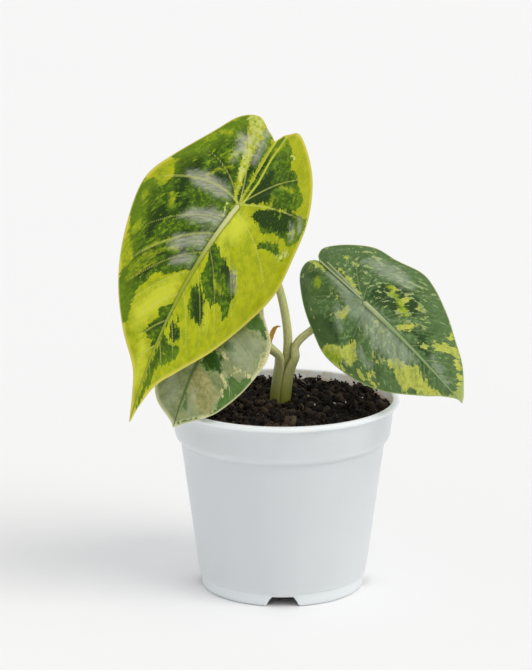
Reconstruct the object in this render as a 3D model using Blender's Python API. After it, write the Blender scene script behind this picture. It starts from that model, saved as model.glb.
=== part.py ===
"""Potted alocasia: a young variegated plant with three leaves in a 12 cm nursery pot.

Units are metres, +Z is up.  The plant and the pot are laid out around the pot's axis, with the
pot's foot at height 0, and the last step moves them together, so that the origin is under the
middle of the whole object's box.
"""

import math
import random

import bmesh
import bpy
from mathutils import Matrix, Vector

MM = 0.001
GAP = 0.3 * MM                    # clearance between neighbouring pieces

# ---- pot -------------------------------------------------------------------------------------
POT_HEIGHT = 99.2 * MM
POT_WALL = 1.0 * MM
RIM_RADIUS = 60.0 * MM            # outside of the rolled lip
LIP_OVERHANG = 2.4 * MM           # how far the lip stands out from the band below it
LIP_HEIGHT = 2.6 * MM
BAND_HEIGHT = 17.8 * MM           # rim band, from the step to the top
BAND_TAPER = 2.1 * MM
STEP_HEIGHT = 4.0 * MM
STEP_CREASE = 0.8 * MM            # reach of the bend at the foot of the step
STEP_CREASE_RISE = 1.0 * MM
CREASE_SHARE = 0.92               # the bend stays under the straight line of the step
SHOULDER_RADIUS = 52.6 * MM       # outside of the body just under the step
FOOT_RADIUS = 42.4 * MM
FOOT_WIDTH = 4.0 * MM
FOOT_LEDGE_HEIGHT = 7.0 * MM
FOOT_LEDGE = 0.4 * MM
BASE_RECESS = 5.0 * MM            # how high the floor's underside is above the ground
NOTCH_COUNT = 4
NOTCH_TOP = 11.0 * MM
NOTCH_BOTTOM = 17.0 * MM
NOTCH_HEIGHT = 4.9 * MM
DRAIN_RADIUS = 4.0 * MM
DRAIN_CIRCLE = 27.0 * MM
POT_SIDES = 64

# ---- soil ------------------------------------------------------------------------------------
SOIL_BELOW_RIM = 8.0 * MM         # soil level at the wall, under the pot's top
SOIL_MOUND = 2.6 * MM             # how much higher it is at the stem
SOIL_LUMP = 0.55 * MM
SOIL_SIDES = 48
SOIL_RINGS = 9

# ---- corm, roots and stalks ------------------------------------------------------------------
STEM_X = -1.6 * MM                # the stem's place on the soil
STEM_Y = 4.0 * MM
STEM_SUNK = 9.0 * MM              # how deep the stalks start under the soil
STALK_RADIUS = 2.6 * MM
SHEATH_THICKNESS = 2.3 * MM
TUBE_SIDES = 16
HUGGING_STEPS = 9                 # rings of a sheath where it hugs the large stalk
CORM_RADIUS = 9.0 * MM
CORM_NECK = 5.0 * MM
CORM_HEIGHT = 24.0 * MM
ROOT_COUNT = 5
ROOT_RADIUS = 1.5 * MM
ROOT_LENGTH = 46.0 * MM
ROOT_DEPTH = 0.5                  # where roots leave the corm, as a share of its height
SOIL_CLEARANCE = 0.4 * MM         # between the soil and what grows in it
RIGHT_SHEATH_ANGLE = -20.0        # degrees round the stem, from the right
RIGHT_SHEATH_HALF = 68.0          # how far the sheath wraps to each side of that, in degrees
RIGHT_SHEATH_HEIGHT = 34.0 * MM   # from the foot to where the sheath turns into a stalk
RIGHT_SHEATH_OPENING = 16.0 * MM  # the height over which it does so
RIGHT_SWELL = 1.5                 # how much thicker the stalk is there than the sheath
RIGHT_STALK_END = 1.7 * MM        # the stalk's radius under the blade
LEFT_SHEATH_ANGLE = 196.0
LEFT_SHEATH_HALF = 66.0
LEFT_SHEATH_HEIGHT = 20.0 * MM
LEFT_SHEATH_OPENING = 15.0 * MM
LEFT_SWELL = 2.4
LEFT_STALK_END = 1.6 * MM
LARGE_APPROACH = 9.0 * MM         # how far behind its blade a stalk turns towards it
SIDE_APPROACH = 6.5 * MM
DRY_SHEATH_HEIGHT = 48.0 * MM     # of the dried tip, above the stem's foot
DRY_SHEATH_THICKNESS = 0.7 * MM

# ---- leaves ----------------------------------------------------------------------------------
BLADE_THICKNESS = 0.8 * MM
BLADE_ROWS = 26
BLADE_COLUMNS = 6
CLEFT_GAP = 1.0 * MM              # between the two lobes, at their inner edges
JOINT_CLEARANCE = 1.0 * MM        # between a stalk's end and the under side of its blade
SPREAD_RIM = 60.0 * MM            # the rim radius at which the joints stand as given below
SPREAD_SHARE = 0.5                # how much of a wider rim's growth the joints follow

LARGE_JOINT = (-22.4 * MM, -28.0 * MM, 105.3 * MM)    # from the pot's axis, above its rim
RIGHT_JOINT = (41.1 * MM, -12.0 * MM, 52.7 * MM)
LEFT_JOINT = (-28.9 * MM, -14.0 * MM, 48.0 * MM)
LARGE_LENGTH = 117.5 * MM         # from where the stalk joins to the tip
LARGE_LOBE = 48.0 * MM
LARGE_HALF_WIDTH = 47.7 * MM
RIGHT_LENGTH = 77.5 * MM
RIGHT_LOBE = 44.0 * MM
RIGHT_HALF_WIDTH = 33.6 * MM
LEFT_LENGTH = 67.7 * MM
LEFT_LOBE = 27.0 * MM
LEFT_HALF_WIDTH = 31.9 * MM

# ---- what lies on the soil -------------------------------------------------------------------
CHIP_COUNT = 8
CHIP_LENGTH = 7.0 * MM
PERLITE_COUNT = 6
PERLITE_RADIUS = 1.3 * MM

SOIL_LEVEL = POT_HEIGHT - SOIL_BELOW_RIM
STEM_FOOT = SOIL_LEVEL + SOIL_MOUND - STEM_SUNK
FLOOR_TOP = BASE_RECESS + POT_WALL


# ---- helpers ---------------------------------------------------------------------------------
def clear_scene():
    """Remove every object that the file opened with."""
    for thing in list(bpy.data.objects):
        bpy.data.objects.remove(thing, do_unlink=True)


def material(name, colour, roughness, metallic=0.0):
    """A Principled material with a plain colour."""
    made = bpy.data.materials.new(name)
    made.use_nodes = True
    shader = made.node_tree.nodes["Principled BSDF"]
    shader.inputs["Base Color"].default_value = (*colour, 1.0)
    shader.inputs["Roughness"].default_value = roughness
    shader.inputs["Metallic"].default_value = metallic
    made.diffuse_color = (*colour, 1.0)
    return made


def add_object(name, mesh_data, finish, root=None, smooth_angle=40.0):
    """Turn a bmesh into a named object with its material, shaded smooth but for sharp edges."""
    bmesh.ops.recalc_face_normals(mesh_data, faces=mesh_data.faces)
    mesh = bpy.data.meshes.new(name)
    mesh_data.to_mesh(mesh)
    mesh_data.free()
    mesh.shade_smooth()
    mesh.set_sharp_from_angle(angle=math.radians(smooth_angle))
    made = bpy.data.objects.new(name, mesh)
    bpy.context.scene.collection.objects.link(made)
    if finish:
        mesh.materials.append(finish)
    made.parent = root
    return made


def make_cutter(thing):
    """Mark an object as a cutter, which is not a piece of the plant."""
    thing.hide_render = True
    thing.display_type = "WIRE"
    return thing


def cut(target, cutter):
    """Take the cutter's shape out of the target."""
    boolean = target.modifiers.new("cut " + cutter.name, "BOOLEAN")
    boolean.operation = "DIFFERENCE"
    boolean.solver = "EXACT"
    boolean.object = make_cutter(cutter)


def turned(profile, sides):
    """Spin a profile of (radius, height) points round the Z axis into a closed body."""
    body = bmesh.new()
    rings = []
    for radius, height in profile:
        if radius < 1e-7:
            rings.append([body.verts.new((0.0, 0.0, height))])
            continue
        turn = [2.0 * math.pi * k / sides for k in range(sides)]
        rings.append([body.verts.new((radius * math.cos(t), radius * math.sin(t), height)) for t in turn])
    loops = list(zip(rings, rings[1:]))
    if len(rings[0]) > 1:
        loops.append((rings[-1], rings[0]))
    for low, high in loops:
        bridge(body, low, high)
    return body


def bridge(body, low, high):
    """Join two rings, either of which may be a single point, with a band of faces."""
    count = max(len(low), len(high))
    for k in range(count):
        after = (k + 1) % count
        corners = [low[k % len(low)], low[after % len(low)], high[after % len(high)], high[k % len(high)]]
        unique = [c for i, c in enumerate(corners) if c not in corners[:i]]
        if len(unique) > 2:
            body.faces.new(unique)


def lofted(rings):
    """A closed body through rings of equal size, with a fan over each end."""
    body = bmesh.new()
    layers = [[body.verts.new(point) for point in ring] for ring in rings]
    for low, high in zip(layers, layers[1:]):
        bridge(body, low, high)
    for ring in (layers[0], layers[-1]):
        middle = sum((v.co for v in ring), Vector()) / len(ring)
        bridge(body, ring, [body.verts.new(middle)])
    return body


def smooth_path(points, steps):
    """Points along a Catmull-Rom curve through the given ones, ends included."""
    knots = [Vector(p) for p in points]
    knots = [2 * knots[0] - knots[1]] + knots + [2 * knots[-1] - knots[-2]]
    path = []
    spans = len(knots) - 3
    for k in range(steps + 1):
        place = k / steps * spans
        span = min(int(place), spans - 1)
        t = place - span
        a, b, c, d = knots[span:span + 4]
        path.append(0.5 * (2 * b + (c - a) * t + (2 * a - 5 * b + 4 * c - d) * t ** 2
                           + (3 * b - a - 3 * c + d) * t ** 3))
    return path


def smoothstep(value):
    """Ease from 0 to 1."""
    t = min(max(value, 0.0), 1.0)
    return t * t * (3.0 - 2.0 * t)


def directions(path):
    """The unit direction of travel at every point of a path."""
    last = len(path) - 1
    return [(path[min(k + 1, last)] - path[max(k - 1, 0)]).normalized() for k in range(len(path))]


# ---- pot -------------------------------------------------------------------------------------
def outer_radius(height):
    """Outside radius of the pot's tapered body."""
    shoulder = POT_HEIGHT - BAND_HEIGHT - STEP_HEIGHT
    return FOOT_RADIUS + (SHOULDER_RADIUS - FOOT_RADIUS) * height / shoulder


def band_radius(height):
    """Outside radius of the band under the lip."""
    top = RIM_RADIUS - LIP_OVERHANG
    return top - BAND_TAPER * (POT_HEIGHT - height) / BAND_HEIGHT


def inner_radius(height):
    """Inside radius of the pot, which the soil fills."""
    step_top = POT_HEIGHT - BAND_HEIGHT
    step_low = step_top - STEP_HEIGHT
    if height >= step_top:
        return band_radius(height) - POT_WALL
    low = outer_radius(min(height, step_low)) - POT_WALL
    share = max(height - step_low, 0.0) / STEP_HEIGHT
    return low + (band_radius(step_top) - POT_WALL - low) * share


def pot_profile():
    """The pot's wall from the middle of its floor, down the foot, up outside and down inside."""
    step_top = POT_HEIGHT - BAND_HEIGHT
    step_low = step_top - STEP_HEIGHT
    foot_inside = FOOT_RADIUS - FOOT_WIDTH
    slope = STEP_HEIGHT / (band_radius(step_top) - outer_radius(step_low))
    crease_rise = min(STEP_CREASE_RISE, CREASE_SHARE * slope * STEP_CREASE)
    outside = [
        (0.0, BASE_RECESS), (foot_inside - 1.5 * MM, BASE_RECESS), (foot_inside, 0.0),
        (FOOT_RADIUS - 0.8 * MM, 0.0), (FOOT_RADIUS - FOOT_LEDGE, 0.8 * MM),
        (outer_radius(FOOT_LEDGE_HEIGHT) - FOOT_LEDGE, FOOT_LEDGE_HEIGHT - FOOT_LEDGE),
        (outer_radius(FOOT_LEDGE_HEIGHT), FOOT_LEDGE_HEIGHT + FOOT_LEDGE),
        (outer_radius(step_low), step_low),
        (outer_radius(step_low) + STEP_CREASE, step_low + crease_rise),
        (band_radius(step_top) - 0.5 * MM, step_top - 1.2 * MM),
        (band_radius(step_top), step_top),
        (band_radius(POT_HEIGHT - LIP_HEIGHT), POT_HEIGHT - LIP_HEIGHT),
    ]
    lip_centre = (RIM_RADIUS - LIP_HEIGHT / 2, POT_HEIGHT - LIP_HEIGHT / 2)
    lip = []
    for turn in (-75, -40, 0, 40, 75):
        angle = math.radians(turn)
        lip.append((lip_centre[0] + LIP_HEIGHT / 2 * math.cos(angle),
                    lip_centre[1] + LIP_HEIGHT / 2 * math.sin(angle)))
    lip.append((band_radius(POT_HEIGHT) - 0.4 * MM, POT_HEIGHT))
    heights = [POT_HEIGHT - 0.8 * MM, step_top, step_low, FLOOR_TOP + 2.0 * MM]
    inside = [(inner_radius(h), h) for h in heights]
    inside += [(inner_radius(FLOOR_TOP) - 2.0 * MM, FLOOR_TOP), (0.0, FLOOR_TOP)]
    return outside + lip + inside


def notch_cutter(index, root):
    """A trapezoid block that cuts one drainage notch through the foot ring."""
    body = bmesh.new()
    inner_end = FOOT_RADIUS - FOOT_WIDTH - 3.0 * MM
    outer_end = FOOT_RADIUS + 4.0 * MM
    below = -2.0 * MM
    slope = (NOTCH_BOTTOM - NOTCH_TOP) / 2 / NOTCH_HEIGHT
    low_half = NOTCH_BOTTOM / 2 - slope * below
    outline = [(-low_half, below), (low_half, below), (NOTCH_TOP / 2, NOTCH_HEIGHT),
               (-NOTCH_TOP / 2, NOTCH_HEIGHT)]
    near = [body.verts.new((inner_end, y, z)) for y, z in outline]
    far = [body.verts.new((outer_end, y, z)) for y, z in outline]
    bridge(body, near, far)
    body.faces.new(near)
    body.faces.new(far)
    bmesh.ops.rotate(body, verts=body.verts, matrix=turn_matrix(index * 2 * math.pi / NOTCH_COUNT))
    return add_object("notch_cutter_%d" % index, body, None, root)


def drain_cutter(index, root):
    """A short rod that cuts one drain hole through the pot's floor."""
    body = turned([(0.0, -BASE_RECESS), (DRAIN_RADIUS, -BASE_RECESS), (DRAIN_RADIUS, 2 * BASE_RECESS),
                   (0.0, 2 * BASE_RECESS)], 16)
    angle = (index + 0.5) * 2 * math.pi / NOTCH_COUNT
    offset = Vector((DRAIN_CIRCLE * math.cos(angle), DRAIN_CIRCLE * math.sin(angle), BASE_RECESS))
    bmesh.ops.translate(body, verts=body.verts, vec=offset)
    return add_object("drain_cutter_%d" % index, body, None, root)


def turn_matrix(angle):
    """Rotation about Z that puts the first notch at the front."""
    return Matrix.Rotation(angle - math.pi / 2, 3, "Z")


def make_pot(root):
    """Thin-walled injection-moulded nursery pot."""
    pot = add_object("pot", turned(pot_profile(), POT_SIDES), POT_PLASTIC, root)
    for index in range(NOTCH_COUNT):
        cut(pot, notch_cutter(index, root))
        cut(pot, drain_cutter(index, root))
    return pot


# ---- soil ------------------------------------------------------------------------------------
def soil_height(x, y):
    """Height of the soil's surface: a low mound round the stem with small lumps."""
    away = math.hypot(x - STEM_X, y - STEM_Y) / inner_radius(SOIL_LEVEL)
    mound = SOIL_MOUND * math.exp(-3.0 * away ** 2)
    lumps = math.sin(x / (4.1 * MM) + 1.0) * math.cos(y / (5.3 * MM)) + math.sin((x + y) / (2.9 * MM))
    calm = smoothstep((away - 0.12) / 0.1)
    return SOIL_LEVEL + mound + SOIL_LUMP * lumps * calm


def make_soil(root):
    """The potting mix, which fills the pot and stands clear of its wall by the gap."""
    body = bmesh.new()
    turn = [2.0 * math.pi * k / SOIL_SIDES for k in range(SOIL_SIDES)]
    rings = []
    edge = inner_radius(SOIL_LEVEL - 2 * SOIL_LUMP) - GAP
    for level in range(1, SOIL_RINGS + 1):
        reach = edge * level / SOIL_RINGS
        flat = [(reach * math.cos(t), reach * math.sin(t)) for t in turn]
        rings.append([body.verts.new((x, y, soil_height(x, y))) for x, y in flat])
    step_top = POT_HEIGHT - BAND_HEIGHT
    low_heights = [step_top, step_top - STEP_HEIGHT, FLOOR_TOP + 2.0 * MM + GAP]
    step = inner_radius(step_top) - inner_radius(step_top - STEP_HEIGHT)
    clear = GAP * max(1.0, step / STEP_HEIGHT)
    walls = [(inner_radius(h - GAP) - clear, h) for h in low_heights]
    walls.append((inner_radius(FLOOR_TOP) - 2.0 * MM - GAP, FLOOR_TOP + GAP))
    for radius, height in walls:
        sag = radius * math.cos(math.pi / POT_SIDES)
        rings.append([body.verts.new((sag * math.cos(t), sag * math.sin(t), height)) for t in turn])
    top = [body.verts.new((0.0, 0.0, soil_height(0.0, 0.0)))]
    bottom = [body.verts.new((0.0, 0.0, FLOOR_TOP + GAP))]
    for low, high in zip([top] + rings, rings + [bottom]):
        bridge(body, low, high)
    soil = add_object("soil", body, POTTING_MIX, root)
    cut(soil, add_object("stem_cutter", stem_hole(), None, root))
    cut(soil, add_object("corm_cutter", corm_body(SOIL_CLEARANCE), None, root))
    for index in range(ROOT_COUNT):
        hole = root_body(index, SOIL_CLEARANCE)
        cut(soil, add_object("root_cutter_%d" % index, hole, None, root))
    return soil


def stem_hole():
    """The round hole in the soil that the bunch of stalks stands in."""
    radius = STALK_RADIUS + 2 * GAP + SHEATH_THICKNESS + 2 * SOIL_CLEARANCE
    low = STEM_FOOT - GAP - SOIL_CLEARANCE
    high = SOIL_LEVEL + 4 * SOIL_MOUND
    body = turned([(0.0, low), (radius, low), (radius, high), (0.0, high)], 24)
    bmesh.ops.translate(body, verts=body.verts, vec=Vector((STEM_X, STEM_Y, 0.0)))
    return body


# ---- corm and roots --------------------------------------------------------------------------
def corm_radius(depth):
    """Radius of the corm at a depth below its top, given as a share of its height."""
    neck, belly = 0.15, 0.55
    if depth <= neck:
        return CORM_NECK
    if depth <= belly:
        return CORM_NECK + (CORM_RADIUS - CORM_NECK) * smoothstep((depth - neck) / (belly - neck))
    return CORM_RADIUS * math.sqrt(1.0 - ((depth - belly) / (1.0 - belly)) ** 2)


def corm_body(grow=0.0):
    """The swollen underground stem, a blunt spindle under the stalks."""
    top = STEM_FOOT - GAP
    profile = [(0.0, top + grow), (CORM_NECK + grow, top + grow)]
    for depth in (0.15, 0.28, 0.42, 0.55, 0.7, 0.82, 0.92, 0.98):
        profile.append((corm_radius(depth) + grow, top - depth * CORM_HEIGHT))
    profile.append((0.0, top - CORM_HEIGHT - grow))
    body = turned(profile, 20)
    bmesh.ops.translate(body, verts=body.verts, vec=Vector((STEM_X, STEM_Y, 0.0)))
    return body


def root_path(index):
    """One root, from the corm's side down and out through the soil."""
    angle = 2 * math.pi * (index + 0.3) / ROOT_COUNT
    outward = Vector((math.cos(angle), math.sin(angle), 0.0))
    sideways = Vector((-math.sin(angle), math.cos(angle), 0.0))
    start = Vector((STEM_X, STEM_Y, STEM_FOOT - GAP - ROOT_DEPTH * CORM_HEIGHT))
    start += outward * (corm_radius(ROOT_DEPTH) + 3 * GAP)
    drop = Vector((0.0, 0.0, -1.0))
    knots = [start,
             start + (outward * 0.22 + drop * 0.08 + sideways * 0.02) * ROOT_LENGTH,
             start + (outward * 0.36 + drop * 0.30 + sideways * 0.10) * ROOT_LENGTH,
             start + (outward * 0.38 + drop * 0.58 + sideways * 0.02) * ROOT_LENGTH,
             start + (outward * 0.42 + drop * 0.86 - sideways * 0.08) * ROOT_LENGTH]
    return smooth_path(knots, 10)


def root_body(index, grow=0.0):
    """A tapered root; the soil's copy of it is a little fatter and reaches into the corm's hole."""
    path = root_path(index)
    ways = directions(path)
    if grow:
        path[0] = path[0] - ways[0] * (3 * GAP + 3 * grow)
        path[-1] = path[-1] + ways[-1] * grow
    rings = []
    for k, (point, way) in enumerate(zip(path, ways)):
        across = way.cross(Vector((0.0, 0.0, 1.0))).normalized()
        over = across.cross(way)
        radius = ROOT_RADIUS * (1.0 - 0.6 * k / len(path)) + grow
        turn = [2 * math.pi * j / 8 for j in range(8)]
        rings.append([point + (across * math.cos(t) + over * math.sin(t)) * radius for t in turn])
    return lofted(rings)


# ---- stalks ----------------------------------------------------------------------------------
def stalk_path():
    """The large leaf's stalk: straight out of the soil, then leaning left and forward."""
    joint = blade_joint(LARGE_BLADE)
    foot = Vector((STEM_X, STEM_Y, STEM_FOOT))
    rise = joint.z - foot.z
    behind = -face_direction(LARGE_BLADE)
    knots = [foot,
             foot + Vector((0.4 * MM, 0.0, 0.11 * rise)),
             foot + Vector((2.0 * MM, -0.2 * MM, 0.22 * rise)),
             foot + Vector((3.9 * MM, -0.7 * MM, 0.31 * rise)),
             foot + Vector((4.0 * MM, -1.3 * MM, 0.40 * rise)),
             foot + Vector((2.4 * MM, -2.4 * MM, 0.50 * rise)),
             foot + Vector((-0.4 * MM, -3.8 * MM, 0.60 * rise)),
             foot + Vector((-7.2 * MM, -8.0 * MM, 0.78 * rise)),
             joint + behind * LARGE_APPROACH + Vector((1.5 * MM, 0.0, -4.0 * MM)),
             joint]
    return smooth_path(knots, 30)


def stalk_at(height):
    """Centre of the large leaf's stalk at a height."""
    path = stalk_path()
    for low, high in zip(path, path[1:]):
        if high.z >= height:
            return low.lerp(high, (height - low.z) / (high.z - low.z))
    return path[-1]


def bent_ring(centre, out, side, bend_radius, half_angle, half_width):
    """An oval bent round a centre that is bend_radius behind it, so a sheath hugs the stalk."""
    ring = []
    for k in range(TUBE_SIDES):
        turn = 2 * math.pi * k / TUBE_SIDES
        along = half_angle * math.sin(turn)
        reach = bend_radius + half_width * math.cos(turn)
        ring.append(centre + out * (reach * math.cos(along) - bend_radius) + side * reach * math.sin(along))
    return ring


def round_stalk():
    """The large leaf's round stalk."""
    path = stalk_path()
    rings = []
    for k, (point, way) in enumerate(zip(path, directions(path))):
        across = way.cross(Vector((0.0, 1.0, 0.0))).normalized()
        over = across.cross(way)
        radius = STALK_RADIUS * (1.0 - 0.28 * k / len(path))
        if k == len(path) - 1:
            radius *= 0.7
        turn = [2 * math.pi * j / TUBE_SIDES for j in range(TUBE_SIDES)]
        rings.append([point + (across * math.cos(t) + over * math.sin(t)) * radius for t in turn])
    return lofted(rings)


def sheathed_stalk(angle, half_angle, opens_at, opening, swell, knots, tip_radius):
    """A leaf stalk whose foot is a sheath round the large stalk and whose top is round.

    The sheath hugs the large stalk over half_angle each side of the given direction.  Over the
    height called opening, round opens_at, its wings narrow to a round stalk that is swell times
    as thick, and that stalk then follows the knots.
    """
    out = Vector((math.cos(angle), math.sin(angle), 0.0))

    def roundness(height):
        return smoothstep((height - opens_at + opening / 2) / opening)

    def half_width(height):
        return SHEATH_THICKNESS / 2 * (1.0 + (swell - 1.0) * roundness(height))

    hugging = []
    for k in range(HUGGING_STEPS + 1):
        height = STEM_FOOT + (opens_at - STEM_FOOT) * k / HUGGING_STEPS
        reach = STALK_RADIUS + 2 * GAP + half_width(height)
        hugging.append(stalk_at(height) + out * reach)
        hugging[-1].z = height
    free = smooth_path([hugging[-2], hugging[-1]] + [Vector(k) for k in knots], 4 * (len(knots) + 1))
    path = hugging[:-2] + free
    rings = []
    for k, (point, way) in enumerate(zip(path, directions(path))):
        forward = (out - way * out.dot(way)).normalized()
        side = way.cross(forward)
        late = smoothstep((k - len(hugging)) / (len(path) - len(hugging)))
        half = half_width(point.z)
        half += (tip_radius - half) * late
        bend_radius = STALK_RADIUS + 2 * GAP + half
        round_angle = half / bend_radius
        wide = half_angle + (round_angle - half_angle) * max(roundness(point.z), late)
        rings.append(bent_ring(point, forward, side, bend_radius, wide, half))
    return lofted(rings)


def right_stalk():
    """The right leaf's stalk, which forks off to the right."""
    joint = blade_joint(RIGHT_BLADE)
    behind = -face_direction(RIGHT_BLADE)
    foot = Vector((STEM_X, STEM_Y, STEM_FOOT))
    knots = [foot + Vector((9.1 * MM, -3.2 * MM, 41.0 * MM)),
             foot + Vector((14.6 * MM, -4.0 * MM, 47.6 * MM)),
             (foot + Vector((26.5 * MM, -6.0 * MM, 57.0 * MM))).lerp(joint, 0.1),
             joint + behind * SIDE_APPROACH - Vector((2.5 * MM, 0.0, 0.0)),
             joint]
    return sheathed_stalk(math.radians(RIGHT_SHEATH_ANGLE), math.radians(RIGHT_SHEATH_HALF),
                          STEM_FOOT + RIGHT_SHEATH_HEIGHT, RIGHT_SHEATH_OPENING,
                          RIGHT_SWELL, knots, RIGHT_STALK_END)


def left_stalk():
    """The left leaf's stalk, which leaves the stem low down on the left."""
    joint = blade_joint(LEFT_BLADE)
    behind = -face_direction(LEFT_BLADE)
    foot = Vector((STEM_X, STEM_Y, STEM_FOOT))
    knots = [foot + Vector((-5.2 * MM, -2.0 * MM, 33.0 * MM)),
             foot + Vector((-9.2 * MM, -3.2 * MM, 43.0 * MM)),
             (foot + Vector((-15.0 * MM, -5.0 * MM, 53.0 * MM))).lerp(joint, 0.15),
             joint + behind * SIDE_APPROACH + Vector((2.0 * MM, 0.0, 0.0)),
             joint]
    return sheathed_stalk(math.radians(LEFT_SHEATH_ANGLE), math.radians(LEFT_SHEATH_HALF),
                          STEM_FOOT + LEFT_SHEATH_HEIGHT, LEFT_SHEATH_OPENING,
                          LEFT_SWELL, knots, LEFT_STALK_END)


def dry_sheath():
    """The dried tip of an old sheath, curled between the left stalk and the large one."""
    base = stalk_at(STEM_FOOT + DRY_SHEATH_HEIGHT)
    knots = [base + Vector((-9.4 * MM, 2.6 * MM, -12.0 * MM)),
             base + Vector((-8.9 * MM, 2.0 * MM, -6.7 * MM)),
             base + Vector((-8.2 * MM, 1.2 * MM, -2.3 * MM)),
             base + Vector((-7.0 * MM, 0.8 * MM, 1.0 * MM)),
             base + Vector((-5.4 * MM, 0.4 * MM, 2.6 * MM)),
             base + Vector((-3.6 * MM, 0.0, 2.8 * MM))]
    widths = [0.6, 0.9, 1.4, 1.5, 0.8, 0.4]
    path = smooth_path(knots, 14)
    sizes = [w.x for w in smooth_path([(w, 0.0, 0.0) for w in widths], 14)]
    rings = []
    for point, way, size in zip(path, directions(path), sizes):
        across = way.cross(Vector((0.0, 1.0, 0.0))).normalized()
        over = across.cross(way)
        turn = [2 * math.pi * j / 10 for j in range(10)]
        rings.append([point + across * math.cos(t) * size * MM + over * math.sin(t) * DRY_SHEATH_THICKNESS / 2
                      for t in turn])
    return lofted(rings)


# ---- leaves ----------------------------------------------------------------------------------
# A blade is drawn flat first.  A flat point has its distance along the midrib from the stalk's
# joint (as a share of the length towards the tip, or of the lobes behind it) and its distance
# across (as a share of the half width).  Each outline runs from the tip round to the cleft.
LARGE_BLADE = {
    "joint": LARGE_JOINT,
    "tip_way": (-0.603, -0.437, -0.668),
    "face": (0.268, -0.899, 0.346),
    "bend": 1.9, "fold": 21.0, "curl": 1.9, "sickle": -4.0,
    "size": (LARGE_LENGTH, LARGE_LOBE, LARGE_HALF_WIDTH),
    "plus": [(1.0, 0.0), (0.9, 0.065), (0.81, 0.16), (0.71, 0.42), (0.56, 0.68), (0.36, 0.88),
             (0.14, 1.0), (-0.08, 0.91), (-0.55, 0.73), (-0.84, 0.61), (-0.96, 0.44), (-0.88, 0.26)],
    "minus": [(1.0, 0.0), (0.9, 0.08), (0.8, 0.19), (0.7, 0.38), (0.53, 0.68), (0.34, 0.9),
              (0.14, 1.0), (-0.14, 0.9), (-0.52, 0.74), (-0.83, 0.46), (-0.99, 0.1), (-0.95, -0.08)],
    "cleft": (-0.83, 0.15),
    "dip": 3.0 * MM,
}
RIGHT_BLADE = {
    "joint": RIGHT_JOINT,
    "tip_way": (0.604, -0.672, -0.43),
    "face": (-0.316, -0.697, 0.644),
    "bend": 3.0, "fold": 11.0, "curl": 3.4, "sickle": 0.9,
    "size": (RIGHT_LENGTH, RIGHT_LOBE, RIGHT_HALF_WIDTH),
    "plus": [(1.0, 0.0), (0.95, 0.02), (0.86, 0.17), (0.76, 0.38), (0.54, 0.75), (0.3, 0.95),
             (0.04, 1.0), (-0.3, 0.86), (-0.62, 0.67), (-0.92, 0.4), (-1.0, 0.2), (-0.95, 0.04)],
    "minus": [(1.0, 0.0), (0.95, 0.13), (0.8, 0.4), (0.63, 0.59), (0.45, 0.78), (0.22, 0.95),
              (0.06, 0.99), (-0.24, 0.87), (-0.55, 0.78), (-0.82, 0.52), (-0.98, 0.24), (-0.96, 0.08)],
    "cleft": (-0.87, 0.0),
    "dip": 0.8 * MM,
}
LEFT_BLADE = {
    "joint": LEFT_JOINT,
    "tip_way": (-0.5, -0.6, -0.62),
    "face": (-0.24, -0.63, 0.74),
    "bend": 4.1, "fold": 11.0, "curl": 3.0, "sickle": -3.1,
    "size": (LEFT_LENGTH, LEFT_LOBE, LEFT_HALF_WIDTH),
    "plus": [(1.0, 0.0), (0.95, 0.12), (0.84, 0.48), (0.7, 0.68), (0.5, 0.88), (0.3, 0.99),
             (0.1, 0.98), (-0.33, 0.87), (-0.7, 0.64), (-0.95, 0.34), (-1.0, 0.16), (-0.92, 0.04)],
    "minus": [(1.0, 0.0), (0.95, 0.12), (0.85, 0.42), (0.75, 0.63), (0.55, 0.86), (0.35, 0.98),
              (0.2, 1.0), (0.05, 0.88), (-0.3, 0.55), (-0.65, 0.38), (-0.93, 0.2), (-0.94, 0.07)],
    "cleft": (-0.82, 0.0),
    "dip": 0.8 * MM,
}


def face_direction(blade):
    """The way that the upper side faces at the joint, square to the midrib."""
    way = Vector(blade["tip_way"]).normalized()
    face = Vector(blade["face"])
    return (face - way * face.dot(way)).normalized()


def joint_place(blade):
    """Where the midrib meets the stalk, on the blade's upper side."""
    x, y, above = blade["joint"]
    reach = 1.0 + SPREAD_SHARE * (RIM_RADIUS - SPREAD_RIM) / SPREAD_RIM
    return Vector((x * reach, y * reach, POT_HEIGHT + above))


def blade_joint(blade):
    """Where a stalk ends, just under the blade."""
    clear = BLADE_THICKNESS + JOINT_CLEARANCE
    return joint_place(blade) - face_direction(blade) * clear


def blade_point(blade, along, across, dip=0.0):
    """Bend a flat point into place: the midrib arcs, the halves fold down and curl."""
    way = Vector(blade["tip_way"]).normalized()
    face = face_direction(blade)
    over = way.cross(face)
    bend = blade["bend"] if along >= 0 else 0.6 * blade["bend"]
    turn = bend * along
    middle = joint_place(blade) + way * math.sin(turn) / bend - face * (1 - math.cos(turn)) / bend
    middle += over * 0.5 * blade["sickle"] * max(along, 0.0) ** 2
    up = face * math.cos(turn) + way * math.sin(turn)
    fold = math.radians(blade["fold"])
    curl = blade["curl"]
    width = abs(across)
    run = (math.sin(fold + curl * width) - math.sin(fold)) / curl
    fall = (math.cos(fold) - math.cos(fold + curl * width)) / curl
    return middle + over * math.copysign(run, across) - up * (fall + dip)


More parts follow.
